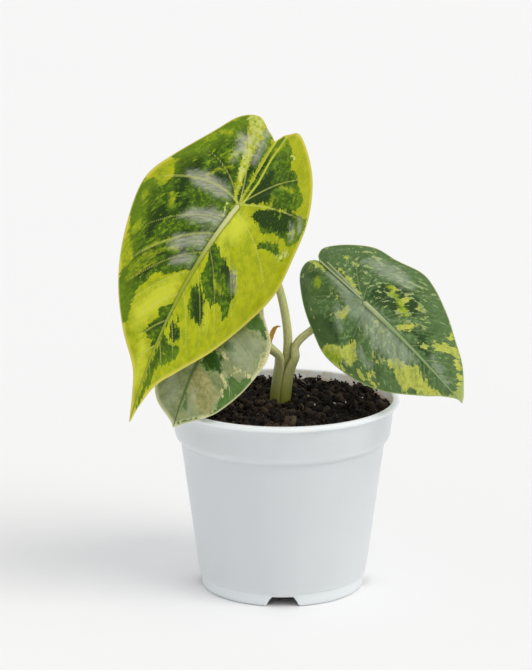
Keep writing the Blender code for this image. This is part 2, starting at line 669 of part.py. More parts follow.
def flat_outline(blade, side):
    """One half's margin and inner edge, as flat points at the same number of stations."""
    length, lobe, half = blade["size"]
    sign = 1.0 if side == "plus" else -1.0

    def real(share_along, share_across):
        return (share_along * (length if share_along > 0 else lobe), share_across * half)

    margin = [real(a, sign * b) for a, b in blade[side]]
    cleft_end = real(*blade["cleft"])
    gap = sign * CLEFT_GAP / 2
    end = (cleft_end[0], cleft_end[1] + gap)
    margin_path = smooth_path([(a, b, 0.0) for a, b in margin] + [(*end, 0.0)], BLADE_ROWS)
    down = BLADE_ROWS * 7 // 10
    inner = [(length * (1 - k / down), 0.0) for k in range(down)] + [(0.0, 0.0)]
    back = BLADE_ROWS - down
    for k in range(1, back + 1):
        share = k / back
        inner.append((cleft_end[0] * share, cleft_end[1] * share + gap * smoothstep(3 * share)))
    return inner, [(p.x, p.y) for p in margin_path]


def cleft_dip(blade, along, across, inner_across):
    """How far the lobes' inner edges sink into the fold between them."""
    if along >= 0.0:
        return 0.0
    reach = -along / blade["size"][1]
    strip = (1.5 + 4.5 * reach) * MM
    return blade["dip"] * reach * smoothstep(1.0 - abs(across - inner_across) / strip)


def blade_body(blade):
    """The blade as a closed sheet: an upper face, a lower face and a rim between them."""
    body = bmesh.new()
    for side in ("plus", "minus"):
        inner, margin = flat_outline(blade, side)
        rows = []
        for (a0, b0), (a1, b1) in zip(inner, margin):
            row = []
            for k in range(BLADE_COLUMNS + 1):
                share = k / BLADE_COLUMNS
                along = a0 + (a1 - a0) * share
                across = b0 + (b1 - b0) * share
                if share == 0.0 and b0 == 0.0:
                    across = 1e-9 if side == "plus" else -1e-9
                row.append(body.verts.new(blade_point(blade, along, across,
                                                      cleft_dip(blade, along, across, b0))))
            rows.append(row)
        for low, high in zip(rows, rows[1:]):
            for k in range(BLADE_COLUMNS):
                corners = (low[k], low[k + 1], high[k + 1], high[k])
                body.faces.new(corners if side == "minus" else corners[::-1])
    bmesh.ops.remove_doubles(body, verts=body.verts, dist=0.02 * MM)
    bmesh.ops.dissolve_degenerate(body, edges=body.edges, dist=0.02 * MM)
    body.normal_update()
    return thickened(body, BLADE_THICKNESS)


def thickened(sheet, thickness):
    """Give an open sheet a wall on its under side."""
    solid = bmesh.new()
    upper = {v: solid.verts.new(v.co) for v in sheet.verts}
    lower = {v: solid.verts.new(v.co - v.normal * thickness) for v in sheet.verts}
    for face in sheet.faces:
        solid.faces.new([upper[v] for v in face.verts])
        solid.faces.new([lower[v] for v in reversed(face.verts)])
    for edge in sheet.edges:
        if len(edge.link_faces) == 1:
            loop = edge.link_loops[0]
            a, b = loop.vert, loop.link_loop_next.vert
            solid.faces.new((upper[b], upper[a], lower[a], lower[b]))
    sheet.free()
    return solid


# ---- what lies on the soil -------------------------------------------------------------------
def resting_height(x, y, reach):
    """The highest soil within reach of a place, so that a piece can rest there with the gap."""
    places = [(x, y)]
    for ring in (0.5, 1.0):
        for k in range(12):
            turn = 2 * math.pi * k / 12
            places.append((x + ring * reach * math.cos(turn), y + ring * reach * math.sin(turn)))
    return max(soil_height(px, py) for px, py in places) + 2 * GAP


def scattered_place(index, count, inner, outer):
    """A place on the soil, spread round the pot by the golden angle."""
    angle = 2.39996 * index + 0.7
    share = (index + 0.5) / count
    reach = math.sqrt(inner ** 2 + (outer ** 2 - inner ** 2) * share)
    return STEM_X / 2 + reach * math.cos(angle), reach * math.sin(angle)


def make_chip(index, place, rng, root):
    """A flat splinter of bark lying on the soil."""
    length = CHIP_LENGTH * rng.uniform(0.7, 1.2)
    width = length * rng.uniform(0.35, 0.5)
    thick = length * rng.uniform(0.16, 0.24)
    body = bmesh.new()
    bmesh.ops.create_cube(body, size=1.0)
    for vert in body.verts:
        vert.co.x *= length * rng.uniform(0.8, 1.0)
        vert.co.y *= width * rng.uniform(0.7, 1.0)
        vert.co.z *= thick
    bmesh.ops.bevel(body, geom=body.edges[:], offset=thick * 0.25, segments=1, affect="EDGES")
    x, y = place
    chip = add_object("bark_chip_%d" % (index + 1), body, BARK, root)
    chip.location = (x, y, resting_height(x, y, length * 0.55) + thick / 2)
    chip.rotation_euler = (0.0, 0.0, rng.uniform(0.0, math.pi))


def make_perlite(index, place, rng, root):
    """A puffed white grain of perlite lying on the soil."""
    radius = PERLITE_RADIUS * rng.uniform(0.8, 1.15)
    body = bmesh.new()
    bmesh.ops.create_icosphere(body, subdivisions=1, radius=radius)
    for vert in body.verts:
        vert.co *= rng.uniform(0.86, 1.0)
    x, y = place
    grain = add_object("perlite_%d" % (index + 1), body, PERLITE, root, smooth_angle=60.0)
    grain.location = (x, y, resting_height(x, y, radius) + radius)


def scatter(root):
    """Bark chips and perlite grains on the soil, each in a place of its own."""
    rng = random.Random(12)
    count = CHIP_COUNT + PERLITE_COUNT
    outer = inner_radius(SOIL_LEVEL) - CHIP_LENGTH
    inner = STALK_RADIUS + SHEATH_THICKNESS + 1.6 * CHIP_LENGTH
    places = [scattered_place(k, count, inner, outer) for k in range(count)]
    chips = [k for k in range(count) if k * PERLITE_COUNT % count >= PERLITE_COUNT][:CHIP_COUNT]
    grains = [k for k in range(count) if k not in chips]
    for index, k in enumerate(chips):
        make_chip(index, places[k], rng, root)
    for index, k in enumerate(grains):
        make_perlite(index, places[k], rng, root)


def centre_on_box(root):
    """Move the whole object so that the origin is under the middle of its box."""
    bpy.context.view_layer.update()
    graph = bpy.context.evaluated_depsgraph_get()
    corners = []
    for thing in bpy.context.scene.objects:
        if thing.type != "MESH" or thing.hide_render:
            continue
        shown = thing.evaluated_get(graph)
        corners += [shown.matrix_world @ v.co for v in shown.data.vertices]
    for axis in (0, 1):
        values = [c[axis] for c in corners]
        root.location[axis] = -(min(values) + max(values)) / 2


clear_scene()
POT_PLASTIC = material("pot_plastic", (0.78, 0.82, 0.84), 0.45)
POTTING_MIX = material("potting_mix", (0.020, 0.014, 0.010), 0.95)
CORM_SKIN = material("corm_skin", (0.13, 0.07, 0.03), 0.8)
ROOT_SKIN = material("root_skin", (0.62, 0.52, 0.36), 0.7)
STALK_GREEN = material("stalk_green", (0.38, 0.45, 0.13), 0.45)
DRY_SHEATH = material("dry_sheath", (0.48, 0.24, 0.05), 0.8)
LARGE_LEAF = material("leaf_lime_and_green", (0.35, 0.50, 0.04), 0.4)
DARK_LEAF = material("leaf_dark_green", (0.06, 0.15, 0.03), 0.4)
PALE_LEAF = material("leaf_pale_sage", (0.42, 0.46, 0.24), 0.45)
BARK = material("bark", (0.06, 0.035, 0.02), 0.9)
PERLITE = material("perlite", (0.80, 0.79, 0.76), 0.9)

plant = bpy.data.objects.new("potted_alocasia", None)
bpy.context.scene.collection.objects.link(plant)
make_pot(plant)
make_soil(plant)
add_object("corm", corm_body(), CORM_SKIN, plant)
for root_index in range(ROOT_COUNT):
    add_object("root_%d" % (root_index + 1), root_body(root_index), ROOT_SKIN, plant)
add_object("petiole_large", round_stalk(), STALK_GREEN, plant)
add_object("petiole_right", right_stalk(), STALK_GREEN, plant)
add_object("petiole_left", left_stalk(), STALK_GREEN, plant)
add_object("dry_sheath_tip", dry_sheath(), DRY_SHEATH, plant)
add_object("leaf_large", blade_body(LARGE_BLADE), LARGE_LEAF, plant)
add_object("leaf_right", blade_body(RIGHT_BLADE), DARK_LEAF, plant)
add_object("leaf_left", blade_body(LEFT_BLADE), PALE_LEAF, plant)
scatter(plant)
centre_on_box(plant)
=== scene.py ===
# %% [markdown]
# # A potted alocasia, from solid model to finished look
#
# The object is a young variegated alocasia with three leaves, in a thin white nursery pot.
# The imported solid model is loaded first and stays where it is.  Around it this lesson builds
# the fine surfaces: the turned pot, the crumbly top of the potting mix, the stalks with their
# sheaths, and the three blades with their veins and their green and yellow patches.
#
# All shapes are worked out in millimetres from the pot's axis, with the pot's foot at height 0,
# and one helper moves them to their place in the model and turns them to metres.

import math

import bmesh
import bpy
import numpy as np
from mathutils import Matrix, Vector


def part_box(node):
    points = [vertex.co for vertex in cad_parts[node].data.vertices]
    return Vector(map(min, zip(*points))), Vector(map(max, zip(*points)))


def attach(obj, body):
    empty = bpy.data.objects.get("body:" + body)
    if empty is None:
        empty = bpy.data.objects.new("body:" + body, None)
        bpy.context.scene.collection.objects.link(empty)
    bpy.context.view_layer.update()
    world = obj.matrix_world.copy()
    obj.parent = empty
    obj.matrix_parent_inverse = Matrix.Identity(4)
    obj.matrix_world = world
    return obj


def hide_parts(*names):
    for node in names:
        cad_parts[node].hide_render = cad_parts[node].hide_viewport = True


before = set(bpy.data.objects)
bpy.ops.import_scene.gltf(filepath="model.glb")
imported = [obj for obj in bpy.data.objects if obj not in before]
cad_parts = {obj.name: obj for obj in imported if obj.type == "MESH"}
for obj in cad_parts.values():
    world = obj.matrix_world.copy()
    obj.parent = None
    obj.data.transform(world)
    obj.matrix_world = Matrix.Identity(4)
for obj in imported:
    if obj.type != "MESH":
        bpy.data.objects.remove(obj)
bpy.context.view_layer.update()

MM = 0.001
pot_low, pot_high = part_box("pot")
AXIS = np.array([(pot_low.x + pot_high.x) / 2, (pot_low.y + pot_high.y) / 2, 0.0])
print("nodes in the frame:", len(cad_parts), " pot axis (mm):", AXIS / MM)

# %% [markdown]
# ## Helpers for numbers
#
# A plant is made of curves, so two helpers do most of the work: a smooth curve through a few
# knots, and an easing from 0 to 1.  Both take and return whole arrays.


# %% Curves and easing
def smooth_curve(knots, steps):
    """Catmull-Rom curve through the knots, ends included, as steps + 1 points.

    Each span is the cubic that passes through its two knots, and whose slope at a knot is half
    the step between that knot's two neighbours.
    """
    knots = np.asarray(knots, float)
    padded = np.vstack([2 * knots[0] - knots[1], knots, 2 * knots[-1] - knots[-2]])
    place = np.linspace(0.0, len(knots) - 1.0, steps + 1)
    span = np.minimum(place.astype(int), len(knots) - 2)
    t = (place - span)[:, None]
    a, b, c, d = (padded[span + k] for k in range(4))
    return 0.5 * (2 * b + (c - a) * t + (2 * a - 5 * b + 4 * c - d) * t ** 2
                  + (3 * b - a - 3 * c + d) * t ** 3)


def ease(value):
    """3 v^2 - 2 v^3 of the value held between 0 and 1."""
    v = np.clip(value, 0.0, 1.0)
    return v * v * (3.0 - 2.0 * v)


def unit(vectors):
    """Vectors divided by their length, along the last axis."""
    vectors = np.asarray(vectors, float)
    return vectors / np.maximum(np.linalg.norm(vectors, axis=-1, keepdims=True), 1e-9)


def travel(path):
    """The unit direction of travel at every point: the step between the two neighbours."""
    return unit(np.gradient(path, axis=0))


# %% [markdown]
# ## Helpers for meshes
#
# A surface is a grid of points.  One helper turns the grid's numbering into quads, another
# puts points and faces into a mesh in one go, with any values that the material will read.


# %% Grids and meshes
def grid_faces(numbers, round_columns=False, round_rows=False):
    """Quads of a grid of vertex numbers; a closed direction joins its last line to its first."""
    if round_columns:
        numbers = np.concatenate([numbers, numbers[:, :1]], axis=1)
    if round_rows:
        numbers = np.concatenate([numbers, numbers[:1]], axis=0)
    corners = [numbers[:-1, :-1], numbers[:-1, 1:], numbers[1:, 1:], numbers[1:, :-1]]
    return np.stack(corners, axis=-1).reshape(-1, 4).tolist()


def fan_faces(ring, centre):
    """Triangles from a closed ring of vertex numbers to one centre vertex."""
    return [[int(a), int(b), int(centre)] for a, b in zip(ring, np.roll(ring, -1))]


def make_piece(name, points, faces, finish, values=None, flat=None, recalculate=True):
    """A mesh object from points in millimetres; values are one number, or three, per vertex."""
    mesh = bpy.data.meshes.new(name)
    places = np.asarray(points, float).reshape(-1, 3) * MM + AXIS
    mesh.from_pydata(places.tolist(), [], faces)
    for key, array in (values or {}).items():
        array = np.asarray(array, np.float32)
        kind = "FLOAT" if array.ndim == 1 else "FLOAT_VECTOR"
        layer = mesh.attributes.new(key, kind, "POINT")
        layer.data.foreach_set("value" if array.ndim == 1 else "vector", array.ravel())
    if recalculate:
        shell = bmesh.new()
        shell.from_mesh(mesh)
        bmesh.ops.recalc_face_normals(shell, faces=shell.faces)
        shell.to_mesh(mesh)
        shell.free()
    if flat is not None:
        corner = np.zeros(len(mesh.loops), np.int32)
        mesh.loops.foreach_get("vertex_index", corner)
        layer = mesh.uv_layers.new(name="surface")
        layer.data.foreach_set("uv", np.asarray(flat, np.float32)[corner].ravel())
    mesh.shade_smooth()
    mesh.materials.append(finish)
    piece = bpy.data.objects.new(name, mesh)
    bpy.context.scene.collection.objects.link(piece)
    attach(piece, "root")
    print(name, "-", len(mesh.polygons), "faces,",
          " x ".join("%.1f" % v for v in (places.max(0) - places.min(0)) / MM), "mm")
    return piece


# %% [markdown]
# ## Helpers for materials
#
# Colours are written the way paint programs show them, as sRGB hex, and one function turns
# them to linear light.  One other function adds a node with its settings and its links.


# %% Colours and nodes
def linear(colour):
    """sRGB hex to linear: below 0.04045 divide by 12.92, above it ((c + 0.055) / 1.055) ^ 2.4."""
    parts = np.array([int(colour[k:k + 2], 16) for k in (1, 3, 5)]) / 255.0
    light = np.where(parts <= 0.04045, parts / 12.92, ((parts + 0.055) / 1.055) ** 2.4)
    return (*light.tolist(), 1.0)


def add(tree, kind, links=None, values=None, **settings):
    """A node with its settings, its unlinked socket values, and links to its inputs."""
    node = tree.nodes.new(kind)
    for key, value in settings.items():
        setattr(node, key, value)
    for key, value in (values or {}).items():
        node.inputs[key].default_value = value
    for key, socket in (links or {}).items():
        tree.links.new(socket, node.inputs[key])
    return node


def new_finish(name, **sockets):
    """A material with a Principled shader, whose even values are set on its own sockets."""
    finish = bpy.data.materials.new(name)
    finish.use_nodes = True
    shader = finish.node_tree.nodes["Principled BSDF"]
    for key, value in sockets.items():
        shader.inputs[key.replace("_", " ")].default_value = value
    return finish, finish.node_tree, shader


def blend_colour(tree, share, low, high):
    """Mix two colours, each a socket or a linear colour, by a share socket or number."""
    mix = add(tree, "ShaderNodeMix", data_type="RGBA")
    for index, value in ((0, share), (6, low), (7, high)):
        if isinstance(value, bpy.types.NodeSocket):
            tree.links.new(value, mix.inputs[index])
        else:
            mix.inputs[index].default_value = value
    return mix.outputs[2]


# %% [markdown]
# ## The camera and the light
#
# The pot is seen from a little above, from far enough away that its sides stay almost
# straight.  One broad soft sun comes from the upper right and in front, so its light is the
# same everywhere on the floor and its shadow is faint, long and soft.  A bright even surround
# does the rest and keeps the pale floor nearly white.

# %% Camera, lights and floor
IMAGE_HEIGHT = 670
FOCAL_PIXELS = 2820
SENSOR = 36.0
CAMERA_PLACE = np.array([-2.2, -1400.0, 475.9])
CAMERA_PITCH = 0.2410
CAMERA_YAW = 0.0046
SUN_WAY = (-0.70, 0.44, -0.9)
SUN_STRENGTH = 1.12
SUN_SPREAD = 36.0
SURROUND_STRENGTH = 0.775
FLOOR_HALF_WIDTH = 6.0
FLOOR_DEPTH = 9.0
BEND_START = 5.0
BEND_RATE = 0.12
FLOOR_DROP = 0.0002

camera_data = bpy.data.cameras.new("camera")
camera_data.sensor_width = SENSOR
camera_data.lens = FOCAL_PIXELS / IMAGE_HEIGHT * SENSOR
camera = bpy.data.objects.new("camera", camera_data)
camera.location = CAMERA_PLACE * MM + AXIS
camera.rotation_euler = (math.pi / 2 - CAMERA_PITCH, 0.0, CAMERA_YAW)
bpy.context.scene.collection.objects.link(camera)
bpy.context.scene.camera = camera
bpy.context.scene.view_settings.view_transform = "Standard"


def soft_sun(name, way, strength, spread, colour):
    """A sun whose light travels along a direction, its disc spread over an angle in degrees."""
    data = bpy.data.lights.new(name, "SUN")
    data.energy = strength
    data.angle = math.radians(spread)
    data.color = linear(colour)[:3]
    lamp = bpy.data.objects.new(name, data)
    lamp.rotation_euler = (math.atan2(math.hypot(way[0], way[1]), -way[2]), 0.0,
                           math.atan2(way[1], way[0]) - math.pi / 2)
    bpy.context.scene.collection.objects.link(lamp)


soft_sun("key", SUN_WAY, SUN_STRENGTH, SUN_SPREAD, "#fffcf6")

world = bpy.data.worlds.new("bright surround")
bpy.context.scene.world = world
world.use_nodes = True
world.node_tree.nodes["Background"].inputs["Color"].default_value = linear("#fcfcfd")
world.node_tree.nodes["Background"].inputs["Strength"].default_value = SURROUND_STRENGTH


def floor_surface():
    """A level sheet that curves up behind the object: height is the square of the depth past
    the bend, so there is no line between floor and backdrop."""
    across = np.linspace(-FLOOR_HALF_WIDTH, FLOOR_HALF_WIDTH, 25)
    depth = np.linspace(-FLOOR_HALF_WIDTH, FLOOR_DEPTH, 61)
    x, y = np.meshgrid(across, depth)
    z = BEND_RATE * np.maximum(y - BEND_START, 0.0) ** 2 - FLOOR_DROP
    return np.stack([x, y, z], axis=-1)


paper, tree, shader = new_finish("matt white paper", Roughness=0.9, Specular_IOR_Level=0.2)
place = add(tree, "ShaderNodeTexCoord").outputs["Object"]
cloud = add(tree, "ShaderNodeTexNoise", {"Vector": place}, {"Scale": 1.2, "Detail": 2.0})
tint = blend_colour(tree, cloud.outputs["Fac"], linear("#f4f4f5"), linear("#f8f8f8"))
tree.links.new(tint, shader.inputs["Base Color"])
sheet = floor_surface()
mesh = bpy.data.meshes.new("floor")
mesh.from_pydata(sheet.reshape(-1, 3).tolist(), [],
                 grid_faces(np.arange(sheet.shape[0] * sheet.shape[1]).reshape(sheet.shape[:2])))
mesh.materials.append(paper)
mesh.shade_smooth()
floor = bpy.data.objects.new("floor", mesh)
bpy.context.scene.collection.objects.link(floor)
print("camera lens (mm):", round(camera_data.lens, 1))

# %% [markdown]
# ## The pot
#
# A nursery pot is injection moulded from white polypropylene: one thin wall, a rolled lip, a
# straight band under it, a step, and a tapering body with a foot.  The foot ring has notches
# to let water out.  A turned profile gives all of it: the profile is carried round the axis,
# and near the ground its points are lifted where a notch is.  Drain holes in the floor are
# cut with a Boolean.

# %% The pot's shape
POT_HEIGHT = 99.2
POT_WALL = 1.0
RIM_RADIUS = 60.0
LIP_OVERHANG = 2.4
LIP_HEIGHT = 2.6
BAND_HEIGHT = 17.8
BAND_TAPER = 2.1
STEP_HEIGHT = 4.0
SHOULDER_RADIUS = 52.6
FOOT_RADIUS = 42.4
FOOT_WIDTH = 4.0
BASE_RECESS = 5.0
NOTCH_TOP = 11.0
NOTCH_BOTTOM = 17.0
NOTCH_HEIGHT = 4.9
STEP_TOP = POT_HEIGHT - BAND_HEIGHT
STEP_LOW = STEP_TOP - STEP_HEIGHT


def body_radius(height):
    """Outside radius of the tapered body, on a straight line from the foot to the step."""
    return FOOT_RADIUS + (SHOULDER_RADIUS - FOOT_RADIUS) * height / STEP_LOW


def band_radius(height):
    """Outside radius of the band under the lip."""
    return RIM_RADIUS - LIP_OVERHANG - BAND_TAPER * (POT_HEIGHT - height) / BAND_HEIGHT


def inner_radius(height):
    """Inside radius of the pot: the outer line less the wall, eased over the step."""
    low = body_radius(np.minimum(height, STEP_LOW)) - POT_WALL
    high = band_radius(np.maximum(height, STEP_TOP)) - POT_WALL
    return low + (high - low) * ease((height - STEP_LOW) / STEP_HEIGHT)


def pot_outline():
    """Profile points (radius, height, how far a notch lifts the point), floor to floor."""
    foot_in = FOOT_RADIUS - FOOT_WIDTH
    rows = [(0.0, BASE_RECESS, 0), (foot_in - 4.0, BASE_RECESS, 0), (foot_in - 1.6, BASE_RECESS, 0)]
    rows += [(foot_in - 1.6 + 1.6 * s, BASE_RECESS * (1 - s), s) for s in (0.2, 0.5, 0.8, 0.94)]
    rows += [(foot_in + 0.2, 0.0, 1), (FOOT_RADIUS - 1.2, 0.0, 1), (FOOT_RADIUS - 0.6, 0.15, 1),
             (FOOT_RADIUS - 0.4, 0.6, 0.9)]
    rows += [(body_radius(h) - 0.4, h, max(0.0, 1 - h / 6.2))
             for h in (1.5, 2.5, 3.5, 4.5, 5.5, 6.3)]
    rows += [(body_radius(6.8) - 0.38, 6.8, 0), (body_radius(7.2) - 0.05, 7.2, 0)]
    rows += [(body_radius(h), h, 0) for h in np.linspace(7.6, STEP_LOW - 0.6, 40)]
    low, high = body_radius(STEP_LOW), band_radius(STEP_TOP)
    rows += [(low, STEP_LOW - 0.2, 0), (low + 0.06, STEP_LOW + 0.05, 0),
             (low + 0.3, STEP_LOW + 0.3, 0)]
    rows += [(low + (high - low) * s, STEP_LOW + STEP_HEIGHT * (0.06 + 0.62 * s), 0)
             for s in (0.2, 0.35, 0.5, 0.65, 0.78)]
    rows += [(high - 0.32, STEP_TOP - 0.9, 0), (high - 0.08, STEP_TOP - 0.4, 0),
             (high, STEP_TOP + 0.1, 0)]
    lip_low = POT_HEIGHT - LIP_HEIGHT
    rows += [(band_radius(h), h, 0) for h in np.linspace(STEP_TOP + 0.7, lip_low - 0.5, 12)]
    rows.append((band_radius(lip_low) + 0.2, lip_low - 0.05, 0))
    half = LIP_HEIGHT / 2
    for turn in np.radians([-78, -55, -30, -8, 15, 38, 60, 80]):
        rows.append((RIM_RADIUS - half + half * math.cos(turn),
                     POT_HEIGHT - half + half * math.sin(turn), 0))
    rows += [(band_radius(POT_HEIGHT) - 0.3, POT_HEIGHT - 0.02, 0),
             (inner_radius(POT_HEIGHT) + 0.25, POT_HEIGHT - 0.15, 0)]
    rows += [(inner_radius(h), h, 0) for h in np.linspace(POT_HEIGHT - 0.7, BASE_RECESS + 3.2, 60)]
    floor_top = BASE_RECESS + POT_WALL
    edge = inner_radius(floor_top)
    rows += [(edge - 0.5, floor_top + 0.7, 0), (edge - 1.4, floor_top + 0.1, 0),
             (edge - 4.0, floor_top, 0), (0.0, floor_top, 0)]
    return np.array(rows)


def notch_lift(turn):
    """Height of the notch's roof at an angle: full over its top width, falling to 0 over the
    slope to its bottom width, four times round."""
    quarter = (turn + math.pi / 2 + math.pi / 4) % (math.pi / 2) - math.pi / 4
    away = np.abs(quarter) * FOOT_RADIUS
    share = (NOTCH_BOTTOM / 2 - away) / (NOTCH_BOTTOM / 2 - NOTCH_TOP / 2)
    return NOTCH_HEIGHT * np.clip(share, 0.0, 1.0) ** 0.75


def pot_mesh(sides=480):
    """Carry the outline round the axis; radius * cos, radius * sin, height + lift."""
    outline = pot_outline()[1:-1]
    turn = np.arange(sides) * 2 * math.pi / sides
    radius, height, share = (outline[:, k][:, None] for k in range(3))
    lifted = height + share * notch_lift(turn)[None, :]
    points = np.stack([radius * np.cos(turn), radius * np.sin(turn), lifted], axis=-1)
    numbers = np.arange(points.shape[0] * sides).reshape(-1, sides)
    faces = grid_faces(numbers, round_columns=True)
    count = numbers.size
    faces += fan_faces(numbers[0], count) + fan_faces(numbers[-1], count + 1)
    ends = [[0.0, 0.0, BASE_RECESS], [0.0, 0.0, BASE_RECESS + POT_WALL]]
    return np.vstack([points.reshape(-1, 3), ends]), faces


# %% [markdown]
# White polypropylene scatters light a little and has the soft gloss of a polished mould.  The
# finish gives it a cool white, a faint unevenness of the wall, fine mould grain, a little
# dust from the potting mix on the inside of the wall, and painted shade: a dark brown on the
# underside of the raised floor, where shade falls under the pot.

# %% The pot's finish
pot_finish, tree, shader = new_finish("moulded white polypropylene", Roughness=0.4, IOR=1.49,
                                      Subsurface_Weight=0.6, Subsurface_Scale=0.006,
                                      Subsurface_Radius=(1.0, 0.95, 0.88))
place = add(tree, "ShaderNodeTexCoord").outputs["Object"]
tall = add(tree, "ShaderNodeMapping", {"Vector": place}, {"Scale": (1.0, 1.0, 0.35)})
flow = add(tree, "ShaderNodeTexNoise", {"Vector": tall.outputs[0]}, {"Scale": 45.0, "Detail": 3.0})
grain = add(tree, "ShaderNodeTexNoise", {"Vector": place}, {"Scale": 1400.0, "Detail": 2.0})
white = blend_colour(tree, flow.outputs["Fac"], linear("#e3eaec"), linear("#e9eff0"))
dust = add(tree, "ShaderNodeAttribute", attribute_name="dust").outputs["Fac"]
speck = add(tree, "ShaderNodeTexNoise", {"Vector": place}, {"Scale": 260.0, "Detail": 4.0})
dusty = add(tree, "ShaderNodeMath", {0: speck.outputs["Fac"], 1: dust}, operation="MULTIPLY")
reach = add(tree, "ShaderNodeMapRange", {"Value": dusty.outputs[0]},
            {"From Min": 0.2, "From Max": 0.7, "To Max": 0.85})
dusted_and_shaded = blend_colour(tree, reach.outputs[0], white, linear("#c4ae94"))
# Painted shade: the underside of the raised floor is darkened to a dark brown, as if in the shadow
# under the pot.
underside_shade = add(tree, "ShaderNodeAttribute", attribute_name="underside_shade").outputs["Fac"]
dusted_and_shaded = blend_colour(tree, underside_shade, dusted_and_shaded, linear("#39332b"))
tree.links.new(dusted_and_shaded, shader.inputs["Base Color"])
gloss = add(tree, "ShaderNodeMapRange", {"Value": flow.outputs["Fac"]},
            {"To Min": 0.33, "To Max": 0.47})
tree.links.new(gloss.outputs[0], shader.inputs["Roughness"])
wave = add(tree, "ShaderNodeBump", {"Height": flow.outputs["Fac"]},
           {"Strength": 0.12, "Distance": 0.0008})
fine = add(tree, "ShaderNodeBump", {"Height": grain.outputs["Fac"], "Normal": wave.outputs[0]},
           {"Strength": 0.06, "Distance": 0.00005})
tree.links.new(fine.outputs[0], shader.inputs["Normal"])

points, faces = pot_mesh()
far = np.hypot(points[:, 0], points[:, 1])
inside = (far < inner_radius(points[:, 2]) + 0.3) & (points[:, 2] > BASE_RECESS + 0.5)
dust_share = np.where(inside, 2.3 - 1.5 * ease((points[:, 2] - 91.5) / 5.0), 0.0)
# The underside of the raised floor, which gets the painted shade.
shaded_underside = (far < FOOT_RADIUS - FOOT_WIDTH + 0.6) & (points[:, 2] < BASE_RECESS + 0.1)
pot = make_piece("nursery_pot", points, faces, pot_finish,
                 {"dust": dust_share, "underside_shade": 0.9 * shaded_underside})
pot.data.set_sharp_from_angle(angle=math.radians(50))
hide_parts("pot")


# %% [markdown]
# Water leaves through round holes in the raised floor.  Short rods cut them with a Boolean.

# %% Drain holes
DRAIN_RADIUS = 4.0
DRAIN_CIRCLE = 27.0


def drain_rods(sides=32):
    """Four short rods standing in the floor, half way between the notches."""
    points = []
    faces = []
    turn = np.arange(sides) * 2 * math.pi / sides
    for k in range(4):
        middle = (k + 0.5) * math.pi / 2 - math.pi / 2
        ring = np.stack([DRAIN_RADIUS * np.cos(turn) + DRAIN_CIRCLE * math.cos(middle),
                         DRAIN_RADIUS * np.sin(turn) + DRAIN_CIRCLE * math.sin(middle)], axis=-1)
        start = len(points)
        for height in (BASE_RECESS - 3.0, BASE_RECESS + 4.0):
            points += [[x, y, height] for x, y in ring]
        low = np.arange(start, start + sides)
        faces += grid_faces(np.stack([low, low + sides]), round_columns=True)
        faces += [low[::-1].tolist(), (low + sides).tolist()]
    return np.array(points), faces


points, faces = drain_rods()
rods = make_piece("drain_rods", points, faces, pot_finish)
rods.hide_render = True
rods.display_type = "WIRE"
holes = pot.modifiers.new("drain holes", "BOOLEAN")
holes.operation = "DIFFERENCE"
holes.solver = "EXACT"
holes.object = rods

# %% [markdown]
# ## The blades
#
# An alocasia's blade is a thin leathery sheet shaped like a shield.  A stiff midrib runs from
# the stalk's joint to the tip, two lobes reach back past the joint, and the halves fold down
# from the midrib like a shallow roof.  A blade is drawn flat first: "along" is the distance
# on the midrib from the joint, "across" the distance to the side, both in millimetres.  The
# outline is a smooth curve through a dozen points on each half.  The flat drawing is then
# bent into place, and its veins, its quilting between the veins and its thickness are added
# along the surface's own normal.

# %% The three blades
LARGE = {
    "joint": (-22.4, -28.0, 204.5), "tip_way": (-0.603, -0.437, -0.668),
    "face": (0.268, -0.899, 0.346), "bend": 1.9, "fold": 21.0, "curl": 1.9, "sickle": -4.0,
    "size": (117.5, 48.0, 47.7), "cleft": (-0.83, 0.15), "dip": 3.0, "thick": 0.55,
    "plus": [(1, 0), (.9, .065), (.81, .16), (.71, .42), (.56, .68), (.36, .88), (.14, 1),
             (-.08, .91), (-.55, .73), (-.84, .61), (-.96, .44), (-.88, .26)],
    "minus": [(1, 0), (.9, .08), (.8, .19), (.7, .38), (.53, .68), (.34, .9), (.14, 1),
              (-.14, .9), (-.52, .74), (-.85, .46), (-1.04, .08), (-.98, -.09)],
}
RIGHT = {
    "joint": (41.1, -12.0, 151.9), "tip_way": (0.604, -0.672, -0.43),
    "face": (-0.316, -0.697, 0.644), "bend": 3.0, "fold": 11.0, "curl": 3.4, "sickle": 0.9,
    "size": (77.5, 44.0, 33.6), "cleft": (-0.87, 0.0), "dip": 0.8, "thick": 0.5,
    "plus": [(1, 0), (.95, .02), (.86, .17), (.76, .38), (.54, .75), (.3, .95), (.04, 1),
             (-.3, .86), (-.62, .67), (-.92, .4), (-1, .2), (-.95, .04)],
    "minus": [(1, 0), (.95, .13), (.8, .4), (.63, .59), (.45, .78), (.22, .95), (.06, .99),
              (-.24, .87), (-.55, .78), (-.82, .52), (-.98, .24), (-.96, .08)],
}
LEFT = {
    "joint": (-28.9, -14.0, 147.2), "tip_way": (-0.5, -0.6, -0.62),
    "face": (-0.24, -0.63, 0.74), "bend": 4.1, "fold": 11.0, "curl": 3.0, "sickle": -3.1,
    "size": (67.7, 27.0, 31.9), "cleft": (-0.82, 0.0), "dip": 0.8, "thick": 0.5,
    "plus": [(1, 0), (.95, .12), (.84, .48), (.7, .68), (.5, .88), (.3, .99), (.1, .98),
             (-.33, .87), (-.7, .64), (-.95, .34), (-1, .16), (-.92, .04)],
    "minus": [(1, 0), (.95, .12), (.85, .42), (.75, .63), (.55, .86), (.35, .98), (.2, 1),
              (.05, .88), (-.3, .55), (-.65, .38), (-.93, .2), (-.94, .07)],
}
CLEFT_OVERLAP = 0.9
CLEFT_TUCK = 1.1
JOINT_SHARE = 0.69
MARGIN_STEPS = 1200
BACK_BEND_SHARE = 0.6
FOLD_EASE_WIDTH = 2.2


def face_way(blade):
    """The way the upper side faces at the joint: the given way less its part along the midrib."""
    way = unit(blade["tip_way"])
    face = np.array(blade["face"])
    return unit(face - way * (face @ way))


